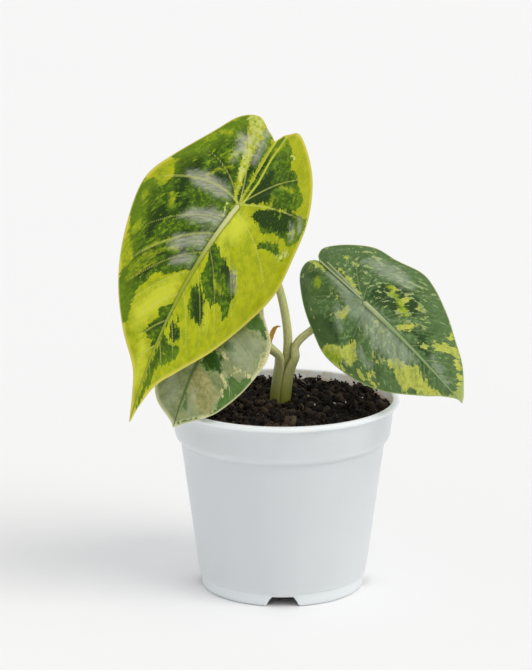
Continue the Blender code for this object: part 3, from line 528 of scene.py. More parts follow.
def bend_blade(blade, along, across, lift):
    """Flat points to space.

    The midrib is a circle's arc from the joint, plus a sideways sweep that grows with the
    square of the distance.  Each half is a second arc that starts at the fold angle and turns
    by curl per millimetre.  The lift is measured along the surface's normal, which eases to
    the midrib's own near the fold.
    """
    way = unit(blade["tip_way"])
    face = face_way(blade)
    over = np.cross(way, face)
    side = np.where(across >= 0, 1.0, -1.0)
    width = np.abs(across)
    bend = np.where(along >= 0, 1.0, BACK_BEND_SHARE) * blade["bend"] * MM
    turn = (bend * along)[..., None]
    middle = (np.array(blade["joint"]) + way * np.sin(turn) / bend[..., None]
              - face * (1 - np.cos(turn)) / bend[..., None])
    middle = middle + over * (0.5 * blade["sickle"] * MM * np.maximum(along, 0) ** 2)[..., None]
    up = face * np.cos(turn) + way * np.sin(turn)
    fold = math.radians(blade["fold"])
    curl = blade["curl"] * MM
    open_way = fold + curl * width
    run = (np.sin(open_way) - math.sin(fold)) / curl
    fall = (math.cos(fold) - np.cos(open_way)) / curl
    lean = open_way * ease(width / FOLD_EASE_WIDTH)
    normal = up * np.cos(lean)[..., None] + over * (side * np.sin(lean))[..., None]
    return middle + over * (side * run)[..., None] - up * fall[..., None] + normal * lift[..., None]


def half_outline(blade, sign, rows):
    """One half's inner edge and margin, as flat points at the same stations from the tip.

    Behind the joint the first half reaches a little past the cleft's line, under the other.
    """
    length, lobe, half = blade["size"]
    knots = np.array(blade["plus" if sign > 0 else "minus"], float)
    margin = np.stack([np.where(knots[:, 0] > 0, length, lobe) * knots[:, 0],
                       sign * half * knots[:, 1]], axis=-1)
    cleft = np.array([lobe * blade["cleft"][0], half * blade["cleft"][1]])
    gap = -CLEFT_OVERLAP if sign > 0 else 0.0
    margin = smooth_curve(np.vstack([margin, cleft + [0.0, gap]]), MARGIN_STEPS)
    station = np.linspace(0.004, 0.997, rows)
    margin = margin[np.round(station * MARGIN_STEPS).astype(int)]
    share = np.clip((station - JOINT_SHARE) / (1 - JOINT_SHARE), 0.0, 1.0)
    inner = np.stack([np.where(station <= JOINT_SHARE, length * (1 - station / JOINT_SHARE),
                               cleft[0] * share),
                      cleft[1] * share + gap * ease(3 * share)], axis=-1)
    return inner, margin, station > JOINT_SHARE


# %% [markdown]
# ### Veins
#
# Side veins leave the midrib at an angle and bow towards the tip.  Each is the curve
# along = start + lean * width + bow * width^2, so how far a point is from it is its
# difference along the midrib, divided by the length of the curve's slope.  On the upper side
# a vein lies in a shallow furrow and the blade swells between veins; underneath it stands out
# as a rib.

# %% Vein curves
LARGE["veins"] = {
    1: [(0, -1.0, 0.016), (-1, -0.35, 0.0150, 1.7), (10, 0.15, 0.018), (18, 0.50, 0.0195, 1.4),
        (29, 0.70, 0.020), (40, 0.85, 0.026), (53, 0.95, 0.032), (67, 1.05, 0.040),
        (80, 1.15, 0.060), (92, 1.30, 0.090), (-1, -2.3, 0.03)],
    -1: [(-1, -2.9, 0.060), (-1, -0.85, 0.008, 1.3), (3, 0.0, 0.010, 1.3), (14, 0.42, 0.014),
         (25, 0.60, 0.017), (37, 0.72, 0.020), (50, 0.80, 0.026), (63, 0.95, 0.036),
         (76, 1.05, 0.050), (89, 1.15, 0.080)],
}
RIGHT["veins"] = {
    1: [(-1, -2.2, 0.040), (-1, -0.9, 0.018), (5, -0.1, 0.020), (15, 0.35, 0.022),
        (26, 0.60, 0.025), (37, 0.75, 0.034), (48, 0.85, 0.050), (59, 0.95, 0.070)],
    -1: [(-1, -2.2, 0.040), (-1, -0.9, 0.018), (5, -0.1, 0.020), (14, 0.30, 0.024),
         (25, 0.55, 0.028), (36, 0.70, 0.036), (47, 0.80, 0.050), (58, 0.90, 0.070)],
}
LEFT["veins"] = {
    1: [(-1, -1.8, 0.040), (-1, -0.6, 0.020), (8, 0.1, 0.024), (18, 0.45, 0.026),
        (29, 0.60, 0.030), (40, 0.75, 0.045), (51, 0.90, 0.070)],
    -1: [(-1, -1.8, 0.040), (0, -0.35, 0.018), (7, 0.15, 0.012), (16, 0.55, 0.012),
         (27, 0.60, 0.020), (42, 0.65, 0.020), (52, 0.85, 0.040)],
}


def vein_distance(blade, along, across):
    """Distance in millimetres to the nearest side vein, divided by how strong the vein is."""
    nearest = np.full(along.shape, 99.0)
    width = np.abs(across)
    for sign in (1, -1):
        mine = across >= 0 if sign > 0 else across < 0
        for start, lean, bow, *strength in blade["veins"][sign]:
            off = np.abs(along - start - lean * width - bow * width ** 2)
            away = off / np.sqrt(1 + (lean + 2 * bow * width) ** 2) / (strength or [1.0])[0]
            nearest = np.where(mine, np.minimum(nearest, away), nearest)
    return nearest


def margin_distance(flat, outline):
    """Distance in millimetres from flat points to the nearest point of the outline."""
    nearest = np.full(len(flat), 99.0)
    for start in range(0, len(flat), 4000):
        step = flat[start:start + 4000, None, :] - outline[None, :, :]
        nearest[start:start + 4000] = np.sqrt((step ** 2).sum(-1)).min(1)
    return nearest


MIDRIB_HEIGHT = 0.75
FURROW_DEPTH = 0.45
QUILT_HEIGHT = 1.05
VEIN_HEIGHT = 0.25
WAVE_HEIGHT = 0.5
RIB_DEPTH = 1.5
SIDE_RIB_DEPTH = 0.4


def upper_relief(blade, along, across, vein, edge):
    """Height added to the upper face: a raised midrib between two furrows, furrows along the
    side veins, a swelling between them, and slow waves that grow towards the margin."""
    length, _, half = blade["size"]
    width = np.abs(across)
    strength = np.clip(1 - 0.75 * along / length, 0.2, 1.0) * np.where(along < 0, 0.0, 1.0)
    midrib = MIDRIB_HEIGHT * np.exp(-(width / (0.55 + 0.75 * strength)) ** 2) * strength
    furrow = -FURROW_DEPTH * np.exp(-((width - 2.6) / 1.1) ** 2) * strength
    fade = ease(edge / 7.0) * ease(width / 3.0)
    quilt = QUILT_HEIGHT * (1 - np.exp(-(vein / 3.2) ** 2)) * fade
    ridge = VEIN_HEIGHT * np.exp(-(vein / 0.45) ** 2) * fade
    outer = ease((width / half - 0.55) / 0.45)
    wave = WAVE_HEIGHT * np.sin(along / 9.0 + 0.6 * np.sign(across)) * outer
    return midrib + furrow + quilt + ridge + wave


def under_relief(blade, along, across, vein, edge):
    """Depth of the ribs on the under side, thick along the midrib, thin along side veins."""
    length = blade["size"][0]
    strength = np.clip(1 - 0.85 * along / length, 0.1, 1.0)
    width = np.abs(across)
    behind = np.where(along < 0, np.exp(-(along / 5.0) ** 2), 1.0)
    rib = RIB_DEPTH * strength * np.exp(-(width / (0.6 + 0.8 * strength)) ** 2) * behind
    side = SIDE_RIB_DEPTH * np.exp(-(vein / 0.6) ** 2) * ease(edge / 6.0)
    side = side * ease((width + 1.0) / 2.0)
    return rib + side


# %% [markdown]
# ### Patches
#
# The leaf is variegated: some tissue has no or little green in it.  The borders between
# sectors follow the veins and look torn.  Each leaf has a short list of patches
# in its own flat millimetres.  A patch is an outline of a few points, grown by a radius, and
# the value kept for each vertex is its distance to the nearest border, negative inside.  The
# material adds noise to that distance, and so tears the border.


# %% Distance to patches
def line(radius, *points):
    """A stroke through points, as one two-point patch for each of its spans."""
    return [(radius, [a, b]) for a, b in zip(points, points[1:])]


def patch_distance(flat, patches):
    """Signed distance to the union of outlines, each grown by its radius.

    A point's distance to an outline is that to its nearest edge; it counts as inside where a
    ray to the side crosses the outline an odd number of times.
    """
    nearest = np.full(len(flat), 60.0)
    x, y = flat[:, 0], flat[:, 1]
    for radius, corners in patches:
        corners = np.array(corners, float)
        away = np.full(len(flat), 1e9)
        inside = np.zeros(len(flat), bool)
        for (ax, ay), (bx, by) in zip(corners, np.roll(corners, -1, axis=0)):
            ex, ey = bx - ax, by - ay
            share = np.clip(((x - ax) * ex + (y - ay) * ey) / max(ex * ex + ey * ey, 1e-9), 0, 1)
            away = np.minimum(away, np.hypot(x - ax - share * ex, y - ay - share * ey))
            if ay != by:
                crosses = ((y > ay) != (y > by)) & (x < ax + ex * (y - ay) / ey)
                inside ^= crosses
        nearest = np.minimum(nearest, np.where(inside, -away, away) - radius)
    return nearest


LARGE["green"] = [
    (0, [(0, 2), (-8, 8), (-16, 11), (-26, 16), (-34, 19), (-45, 26), (-42, 42), (-16, 47),
         (-7, 50), (2, 38), (9, 36), (15, 46), (24, 50), (47, 37), (53, 31), (61, 33), (73, 32),
         (84, 22), (79, 19), (69, 21), (62, 21), (53, 16), (44, 5), (40, 1), (30, 1), (20, 1),
         (8, 1)]),
    (0, [(-1, -9), (-5, -9), (-11, -14), (-15, -21), (-19, -23), (-22, -34), (-20, -38),
         (-12, -40), (-5, -36), (-6, -29), (-2, -23), (2, -18), (-1, -14)]),
    (0.8, [(6, -23), (-1, -29), (2, -38), (4, -28)]),
    (0, [(-2, -1), (-8, 1), (-16, 2.5), (-24, 4), (-32, 5.5), (-41, 7), (-45, 5), (-42, -1),
         (-38, -7), (-33, -9), (-35, -14), (-30, -21), (-27, -27), (-21, -27), (-13, -17),
         (-10, -9), (-6, -5)]),
    (0, [(-2, 0.5), (-10, 2), (-20, 4), (-30, 6), (-40, 7.4), (-47, 12), (-46, 17), (-37, 12.5),
         (-26, 10.5), (-16, 7.5), (-8, 5), (-3, 3.5)]),
    (0, [(27, -3), (22, -2), (24, -9), (25, -13), (26, -21), (30, -25), (34, -28), (39, -28),
         (44, -31), (47, -29), (44, -24), (43, -20), (47, -19), (46, -14), (43, -8), (38, -5),
         (32, -3)]),
    (1.0, [(52, -7), (46, -5), (44, -7), (46, -12), (52, -17), (56, -18), (57, -12), (54, -8)]),
    (0.8, [(59, 0), (65, 5), (69, 4), (74, 7), (78, 7), (79, 3), (81, 2), (77, 0), (71, 0),
           (63, 0)]),
    (0.9, [(66, -4), (67, -7), (69, -9), (72, -9), (72, -6), (69, -4)]),
    (0.7, [(61, -3), (63, -6)]),
    (0, [(73, -2), (76, -6), (83, -6), (93, -5), (106, -3), (113, -2), (105, -1), (93, -1),
         (81, -1)]),
    (0.3, [(76, -6), (73, -13), (78, -14), (84, -9), (86, -6)]),
]
LARGE["deep"] = [
    (0, [(-1, -9), (-5, -9), (-11, -14), (-15, -21), (-20, -26), (-22, -34), (-14, -38),
         (-8, -30), (-2, -18)]),
    (0, [(-6, -5), (-10, -4), (-18, -9), (-13, -12), (-8, -8)]),
    (0, [(27, -10), (25, -14), (26, -21), (30, -25), (33, -25), (31, -19), (30, -12)]),
    (0, [(52, -8), (46, -6), (46, -12), (52, -17), (56, -18), (57, -12)]),
    (0, [(-1, 45), (-13, 31), (-5, 26), (2, 34)]),
    (0, [(66, -4), (69, -9), (72, -9), (72, -6)]),
    (0, [(80, -3), (93, -5), (106, -3), (112, -2), (93, -1)]),
    (0, [(-8, 12), (-16, 16), (-10, 24), (0, 24), (0, 12)]),
    # These two rows hug the cleft behind the joint: painted shade in the groove between the lobes'
    # edges and on the strip beside it.
    (0, [(-3, -2), (-12, -0.5), (-20, 0), (-26, -2), (-18, -9), (-11, -11), (-6, -6)]),
    (0, [(-3, 1), (-14, 4), (-26, 7), (-26, 9.5), (-14, 6.5)]), (0.8, [(-14, 1.4), (-38, 5.3)]),
    (1.5, [(18, 40), (30, 34)]), (2.0, [(14, 22), (24, 22)]), (1.2, [(9, 10), (14, 13)]),
    (1.4, [(44, 24), (40, 10)]), (1.2, [(66, 31), (58, 30)]), (2.0, [(52, 22), (66, 27)]),
    (2.5, [(24, 30), (38, 30)]), (2.5, [(2, 30), (16, 28)]), (2.0, [(26, 14), (34, 10)]),
    (2.2, [(-26, 38), (-38, 38)]), (1.8, [(-16, 28), (-24, 28)]),
]
LARGE["pale"] = [
    (0, [(-48, 25), (-49, 17), (-44, 16.5), (-36, 13.5), (-26, 11.5), (-14, 8), (-5, 4.5),
         (-14, 10), (-24, 14), (-34, 18), (-42, 25)]),
    (0.4, [(-39, -6), (-38, -10)]), (0.3, [(2, 5), (8, 3)]), (1.6, [(3, -35), (-2, -38)]),
    (1.6, [(-22, -39), (-12, -43)]),
]
# Lighter lines along the lobes' inner edges at the cleft: painted highlight on their crests.
LARGE["ridge"] = [
    *line(0.5, (-44, 7.4), (-30, 5.2), (-20, 3.5)), *line(0.25, (-20, 3.5), (-3, 0.6)),
    *line(0.3, (-46, 3.6), (-30, 2), (-16, -0.6), (-3, -1.2)),
]
# Lighter lime patches: painted sheen where the blade catches the light.
LARGE["painted_lime_sheen"] = [
    (1.5, [(50, 5), (60, 12), (72, 18), (78, 14), (58, 4)]), (2.0, [(84, 6), (100, 3)]),
    (2.0, [(3, -3), (16, -3), (12, -10), (3, -10)]), *line(0.5, (18, -3), (30, -12), (36, -20)),
    *line(0.5, (22, -2), (56, -22)),
]
# Pale grey patches between the veins: painted sheen where the wax reflects the light.
LARGE["painted_sheen"] = [
    (0.3, [(-1, 6), (-5, 13), (-5, 23), (0, 31), (3, 24), (2, 12)]),
    (0.6, [(8, 3), (10, 9), (15, 17), (21, 20), (18, 11), (14, 3)]),
    (0.6, [(21, 3), (25, 9), (32, 16), (37, 16), (31, 9), (27, 3)]),
    (0.3, [(33, 3), (37, 8), (42, 12), (38, 4)]),
    (0.3, [(-32, 22), (-35, 18), (-26, 14), (-24, 18)]), (0.2, [(-18, 16), (-24, 19)]),
    *line(1.2, (-42, 13), (-33, 10), (-24, 8)),
    (0.6, [(-14, -30), (-10, -34)]), (0.5, [(-20, -32), (-16, -36)]), (0.8, [(26, -20), (32, -25)]),
]
LARGE["fleck"] = [(3.0, [(-22, 36), (-32, 26), (-22, 16), (-10, 20), (-8, 32)]),
                  (2.0, [(12, 30), (26, 20), (40, 26), (34, 40), (18, 40)]),
                  (1.0, [(56, 29), (70, 28), (62, 22), (44, 20)]),
                  (1.0, [(-16, -20), (-6, -20), (-6, -30)])]
LARGE["bright"] = [
    (0.5, [(48, 40), (47, 36), (53, 31), (58, 33), (55, 38)]), (2.4, [(8, 42), (12, 39)]),
    *line(0.8, (58, 29), (49, 26), (41, 20), (36, 13)), *line(0.4, (48, 29), (40, 24), (34, 19)),
    *line(0.5, (63, 28), (54, 24), (47, 19)), (0.8, [(14, 31), (20, 27)]),
    (1.5, [(-30, 27), (-28, 31)]), (1.2, [(-22, 18), (-18, 19)]), (1.0, [(-24, 34), (-20, 35)]),
    *line(0.8, (-15, 15), (-10, 20), (-4, 22)), (1.2, [(-40, 34), (-38, 30)]),
    (1.2, [(36, 37), (42, 37)]), (1.0, [(22, 43), (26, 41)]), (1.0, [(-2, 40), (2, 41)]),
    (0.8, [(-24, -12), (-26, -18)]), (1.0, [(-12, -14), (-16, -12)]), (0.8, [(-36, 3), (-41, 2)]),
    (0.8, [(36, -14), (38, -20)]), (1.0, [(-12, -33), (-9, -31)]), (0.6, [(58, -10), (61, -6)]),
]

RIGHT["green"] = [(60, [(0, 0), (10, 0)])]
RIGHT["deep"] = [
    (0, [(-40, 9), (-28, 19), (-20, 24), (-14, 19), (-3, 17), (5, 24), (1, 28), (-7, 30),
         (-16, 29), (-35, 17)]),
    (0, [(-2, -5), (-3, -14), (6, -21), (20, -21), (25, -14), (18, -8), (12, -6), (1, -3)]),
    (0.5, [(28, -6), (38, -9), (44, -6)]), (0, [(-42, 6), (-38, 13), (-30, 6), (-34, 4)]),
    (1.0, [(14, -12), (20, -9)]), (0.8, [(-38, 14), (-30, 20)]),
    (1.2, [(38, -4), (46, -4)]), (1.0, [(24, 20), (34, 22)]), (1.0, [(14, 30), (20, 31)]),
    (1.0, [(50, 13), (56, 14)]), (1.0, [(-10, 1), (-4, 2)]),
]
RIGHT["pale"] = [
    (0, [(-26, -4), (-21, -4.5), (-14, -3.6), (-5, -1.2), (-15, -1.6)]),
    (0, [(-9, 14), (-8, 12), (-6, 10), (-6, 6), (-3, 8), (-2, 13), (-5, 15)]),
    (0, [(-3, 36), (0, 28), (4, 26), (8, 23), (10, 20), (8, 17), (11, 16), (18, 23), (20, 25),
         (18, 28), (14, 28), (12, 31), (17, 34), (8, 37)]),
    (0, [(31, 14), (36, 9), (42, 8), (47, 4), (53, 6), (59, 6), (66, 5), (72, 3), (70, 12),
         (59, 15), (55, 12), (52, 15), (56, 18), (48, 18), (41, 17), (38, 14)]),
    (0, [(42, -9), (46, -14), (52, -18), (56, -16), (51, -10), (47, -7)]),
    (0.2, [(24, -3), (25, -7), (28, -10), (31, -11), (29, -6)]),
    (0.3, [(3, -14), (4, -17), (6, -16), (6, -13)]),
    (0.2, [(12, -12), (12, -18), (16, -17), (16, -12)]),
    (0.2, [(17, -10), (20, -13), (21, -11), (19, -8)]),
    (0, [(-43, 3), (-40, 0), (-30, 1), (-36, 3)]),
    (1.1, [(41, -6), (42, -6)]), (0.9, [(22, -18), (23, -18)]), (0.6, [(28, -17), (30, -16)]),
    (1.2, [(30, 24), (31, 24)]), (0.6, [(-22, -12), (-21, -12)]), (0.7, [(-29, -11), (-28, -11)]),
    (0.4, [(-22, -24), (-21, -24)]), (0.5, [(-15, 7), (-14, 8)]),
    (0.7, [(24, 16), (28, 18)]), (0.5, [(13, 32), (22, 32)]), (0.8, [(29, 27), (37, 26)]),
    (0.5, [(22, 27), (29, 28)]),
    *line(0.1, (22, -30.5), (30, -28.5), (38, -25.5), (46, -20.5)), (1.1, [(46, -20), (47, -18)]),
    *line(1.0, (54, -15), (62, -11), (69, -6)), *line(0.5, (58, 15), (66, 9), (72, 4)),
    (0.3, [(13, 3), (18, 6)]), (0.3, [(20, 4), (26, 9)]),
]
RIGHT["ridge"] = [*line(0.2, (-38, -0.6), (-20, -0.5), (-3, -0.4)),
                  *line(0.1, (-34, -2.4), (-8, -1.4))]
# Pale grey patches: painted sheen where the wax reflects the light.
RIGHT["painted_sheen"] = [
    (0.5, [(-29, 1), (-18, 3), (-2, 9), (10, 8), (22, 13), (38, 10), (44, 3), (31, 1),
           (12, 0), (-1, 1), (-14, 0), (-25, 0)]),
    (0.5, [(-21, -16), (-14, -23), (-1, -26), (10, -24), (5, -20), (-6, -18)]),
    (1.0, [(-10, 12), (0, 18)]), (1.0, [(16, 20), (26, 21)]), (1.0, [(50, -4), (64, -1)]),
]
RIGHT["fleck"] = [(2.0, [(-20, -8), (-30, -18), (0, -28), (20, -26), (34, -18), (20, -8)]),
                  (2.0, [(10, 6), (24, 4), (36, 8), (28, 14)]), (1.5, [(-20, 8), (-4, 12)]),
                  (1.0, [(22, 24), (38, 22)])]
RIGHT["bright"] = [(2.0, [(-30, 8), (-29, 9)]), (0.8, [(-40, 5), (-38, 8)]),
                   (2.5, [(4, 32), (10, 30)]), (1.2, [(2, -15), (20, -11)])]

LEFT["green"] = [
    (0, [(31, -1), (26, -3), (21, -6), (24, -11), (28, -13), (32, -14), (32, -11), (33, -9),
         (34, -6), (33, -3)]),
    (0, [(19, -8), (15, -10), (14, -12), (16, -15), (19, -16), (20, -12)]),
    (0.3, [(4, -13), (-3, -14), (-7, -16), (-1, -23), (4, -26), (3, -24), (0, -21), (2, -19)]),
    (0, [(33, -17), (31, -20), (32, -24), (27, -28), (30, -33), (37, -31), (44, -28), (52, -23),
         (58, -17), (55, -16), (49, -18), (44, -18), (39, -18), (36, -20)]),
    (0.3, [(66, -1), (62, -9), (58, -15), (59, -11), (62, -4)]),
    (0.3, [(35, -5), (39, -11)]), (0.2, [(38, -13), (41, -15)]),
    (0.5, [(49, -1), (56, -3)]), (0.2, [(34, -9), (36, -8)]), (0.2, [(51, -9), (52, -9.5)]),
    (0.3, [(48, -12), (49, -13)]),
]
LEFT["deep"] = [
    (0, [(31, -1), (26, -3), (22, -7), (24, -11), (28, -13), (32, -14), (32, -8)]),
    (0, [(18, -9), (15, -11), (16, -15), (19, -15)]), (0.5, [(33, -19), (36, -21)]),
    (0.4, [(0, -22), (4, -25)]),
]
LEFT["pale"] = [
    *line(2.3, (-11, -15), (-4, -24), (3, -29.5), (13, -33), (24, -33)),
    *line(2.2, (12, -31), (20, -31)), *line(0.9, (26, -25), (27, -27.5)),
    *line(0.3, (21, -10), (24, -15), (27, -20)), *line(0.4, (33, -15), (38, -19), (44, -18)),
    *line(0.15, (38, -3), (43, -9), (46, -13)), *line(0.3, (27, -22), (31, -18)),
]
# Pale grey patches: painted sheen where the wax reflects the light.
LEFT["painted_sheen"] = [(0.5, [(12, -10), (8, -16), (8, -24), (16, -27), (25, -26), (25, -19), (21, -12)]),
                (1.5, [(50, 4), (58, 8), (44, 10)]), (1.0, [(46, -4), (58, -6)])]
LEFT["fleck"] = [(1.0, [(30, -6), (34, -12)]), (2.0, [(34, -22), (44, -24)])]
LEFT["bright"] = [(0, [(40, 0), (34, -2), (36, -8), (38, -12), (43, -17), (52, -17), (56, -13),
                       (52, -6), (46, -1)])]


# %% [markdown]
# A blade is one closed sheet.  Its upper and lower faces are the same flat grid, lifted by
# two reliefs, and a rounded rim joins them.

# %% Build a blade as one closed sheet
def blade_sheet(blade, rows, columns):
    """Upper face, lower face and rounded rim of a blade.

    Both halves are grids from the inner edge to the margin.  Over the midrib they share their
    inner line; behind the joint the cleft parts them.
    """
    length, lobe, half = blade["size"]
    halves = []
    numbers = []
    start = 0
    for sign in (1, -1):
        inner, margin, behind = half_outline(blade, sign, rows)
        share = (np.linspace(0.0, 1.0, columns) ** 0.92)[None, :, None]
        flat = inner[:, None, :] + (margin - inner)[:, None, :] * share
        reach = np.maximum(-flat[..., 0], 0.0) / lobe
        strip = 1.5 + 4.5 * reach
        beside = np.abs(flat[..., 1] - inner[:, None, 1])
        dip = blade["dip"] * reach * ease(1.0 - beside / strip)
        if sign > 0:
            tucked = ease(-3.0 * inner[:, 0] / lobe)[:, None] * ease(1.0 - beside / 4.0)
            dip = dip + CLEFT_TUCK * tucked * behind[:, None]
        halves.append((flat, dip))
        numbers.append(np.arange(start, start + rows * columns).reshape(rows, columns))
        start += rows * columns
    numbers[1][~behind, 0] = numbers[0][~behind, 0]
    flat = np.concatenate([h[0].reshape(-1, 2) for h in halves])
    dip = np.concatenate([h[1].ravel() for h in halves])
    side = np.repeat([1.0, -1.0], rows * columns)
    rim_loop = np.concatenate([numbers[0][:-1, -1], numbers[0][-1, :0:-1],
                               numbers[0][:np.argmax(behind) - 1:-1, 0],
                               numbers[0][np.argmax(behind) - 1:np.argmax(behind), 0],
                               numbers[1][np.argmax(behind):, 0], numbers[1][-1, 1:],
                               numbers[1][-2::-1, -1], numbers[1][0, -2:0:-1],
                               numbers[0][0, :-1]])
    outline = np.concatenate([halves[0][0][:, -1], halves[1][0][:, -1]])
    along, across = flat[:, 0], np.where(np.abs(flat[:, 1]) < 1e-6, side * 1e-6, flat[:, 1])
    edge = margin_distance(np.stack([along, across], -1), outline)
    vein = vein_distance(blade, along, across)
    up = upper_relief(blade, along, across, vein, edge) - dip
    slim = blade["thick"] * (0.55 + 0.45 * ease(edge / 3.0))
    down = up - slim - under_relief(blade, along, across, vein, edge)
    upper = bend_blade(blade, along, across, up)
    lower = bend_blade(blade, along, across, down)
    count = len(upper)
    loop_points = (upper[rim_loop] + lower[rim_loop]) / 2
    tangent = unit(np.roll(loop_points, -1, 0) - np.roll(loop_points, 1, 0))
    outward = np.cross(tangent, unit(upper[rim_loop] - lower[rim_loop]))
    if ((upper[rim_loop[rows // 3]] - upper[numbers[0][rows // 3, -3]]) @ outward[rows // 3]) < 0:
        outward = -outward
    loop_points = loop_points + outward * 0.25 * slim[rim_loop][:, None]
    rim_numbers = np.arange(2 * count, 2 * count + len(rim_loop))
    faces = []
    for grid in numbers:
        faces += grid_faces(grid) + grid_faces(grid + count)
    rings = np.stack([rim_loop, rim_numbers, rim_loop + count])
    faces += grid_faces(rings, round_columns=True)
    points = np.concatenate([upper, lower, loop_points])
    twice = np.concatenate([np.arange(count), np.arange(count), rim_loop])
    under = np.concatenate([np.zeros(count), np.ones(count), np.full(len(rim_loop), 0.5)])
    used = np.unique(np.array(faces))
    renumber = np.full(len(points), -1)
    renumber[used] = np.arange(len(used))
    faces = renumber[np.array(faces)].tolist()
    twice = twice[used]
    return {"points": points[used], "faces": faces, "along": along[twice], "across": across[twice],
            "edge": edge[twice], "vein": vein[twice], "under": under[used]}


def blade_values(blade, sheet):
    """What the material reads: distances to patches, veins and margin, and flow coordinates
    that run across and along the side veins, so that a pattern can be drawn out along them."""
    flat = np.stack([sheet["along"], sheet["across"]], axis=-1)
    kinds = ("green", "deep", "pale", "painted_sheen", "fleck", "bright", "painted_lime_sheen", "ridge")
    values = {key: patch_distance(flat, blade.get(key, [])) for key in kinds}
    width = np.abs(sheet["across"])
    lean = np.clip(0.15 + 0.012 * sheet["along"], -0.9, 1.1)
    values["flow"] = np.stack([sheet["along"] - lean * width - 0.012 * width ** 2, width,
                               20.0 * np.sign(sheet["across"])], axis=-1)
    values["flat"] = np.stack([sheet["along"], sheet["across"], 20.0 * sheet["under"]], axis=-1)
    values["vein"] = sheet["vein"]
    values["middle"] = width + np.where(sheet["along"] < 0, -1.5 * sheet["along"], 0.0)
    values["edge"] = sheet["edge"]
    values["under"] = sheet["under"]
    values["tipward"] = np.clip(sheet["along"] / blade["size"][0], 0.0, 1.0)
    return values, flat * MM * 10.0


# %% [markdown]
# ### The blades' finish
#
# A leaf is wax over living tissue.  Where the tissue is green the colour is deep and mottled
# in small blocks, because the cells stand in bundles between fine veins.  Where it has lost
# its green it is a clear lime yellow.  The wax gives a soft sheen, broken by fine quilting.
# Some light and shade is also painted into the colour: pale grey patches of painted sheen
# where the wax reflects the light, lighter lime patches of painted sheen near the midrib,
# painted highlight on the crests at the cleft, and painted shade in the cleft, beside the
# midrib and along the side veins.  Veins and margin are pale.  The under side is duller.
# One function makes all three finishes, because the leaves differ only in their colours.

# %% A variegated leaf's material
# Each layer's colour on the large, the right and the small left leaf.
TINTS = {
    "ground": ("#aeb606", "#9aa950", "#8d9664"),
    "ground_dark": ("#909e04", "#8c9c40", "#6f7c4a"),
    "ground_far": ("#a2a506", "#8a9a44", "#7d895c"),
    "ground_light": ("#c6ca40", "#b1ba6c", "#afb288"),
    "green": ("#3c5a08", "#4d6b34", "#486a28"),
    "green_light": ("#64840f", "#6d8852", "#64853c"),
    "green_dark": ("#2c4706", "#41602c", "#385a1c"),
    "deep": ("#203905", "#23420e", "#264610"),
    "green_edge": ("#6f8c12", "#55713c", "#4c6e30"),
    "fleck": ("#86a016", "#a6b674", "#94a35c"),
    "pale": ("#c3ca62", "#bcc352", "#c9c48c"),
    "bright": ("#a4b01a", "#9ab022", "#878650"),
    "bright_dark": ("#7f9512", "#7c9a14", "#a5a06a"),
    "painted_sheen": ("#c3c4ae", "#a3b098", "#a0aa8e"),
    "ridge": ("#b9c23c", "#b4c088", "#a0aa8e"),
    "vein": ("#cbd168", "#8ba268", "#6d7c48"),
    "rib_foot": ("#d3d599", "#b4c08c", "#8c9768"),
    "rib": ("#94a034", "#8fa46c", "#55662f"),
    "margin": ("#cfc654", "#a9b872", "#cfce9e"),
    "under": ("#a9b152", "#7c9663", "#959f72"),
    "painted_lime_sheen": ("#ced43c", "#b1ba6c", "#a8a987"),
}


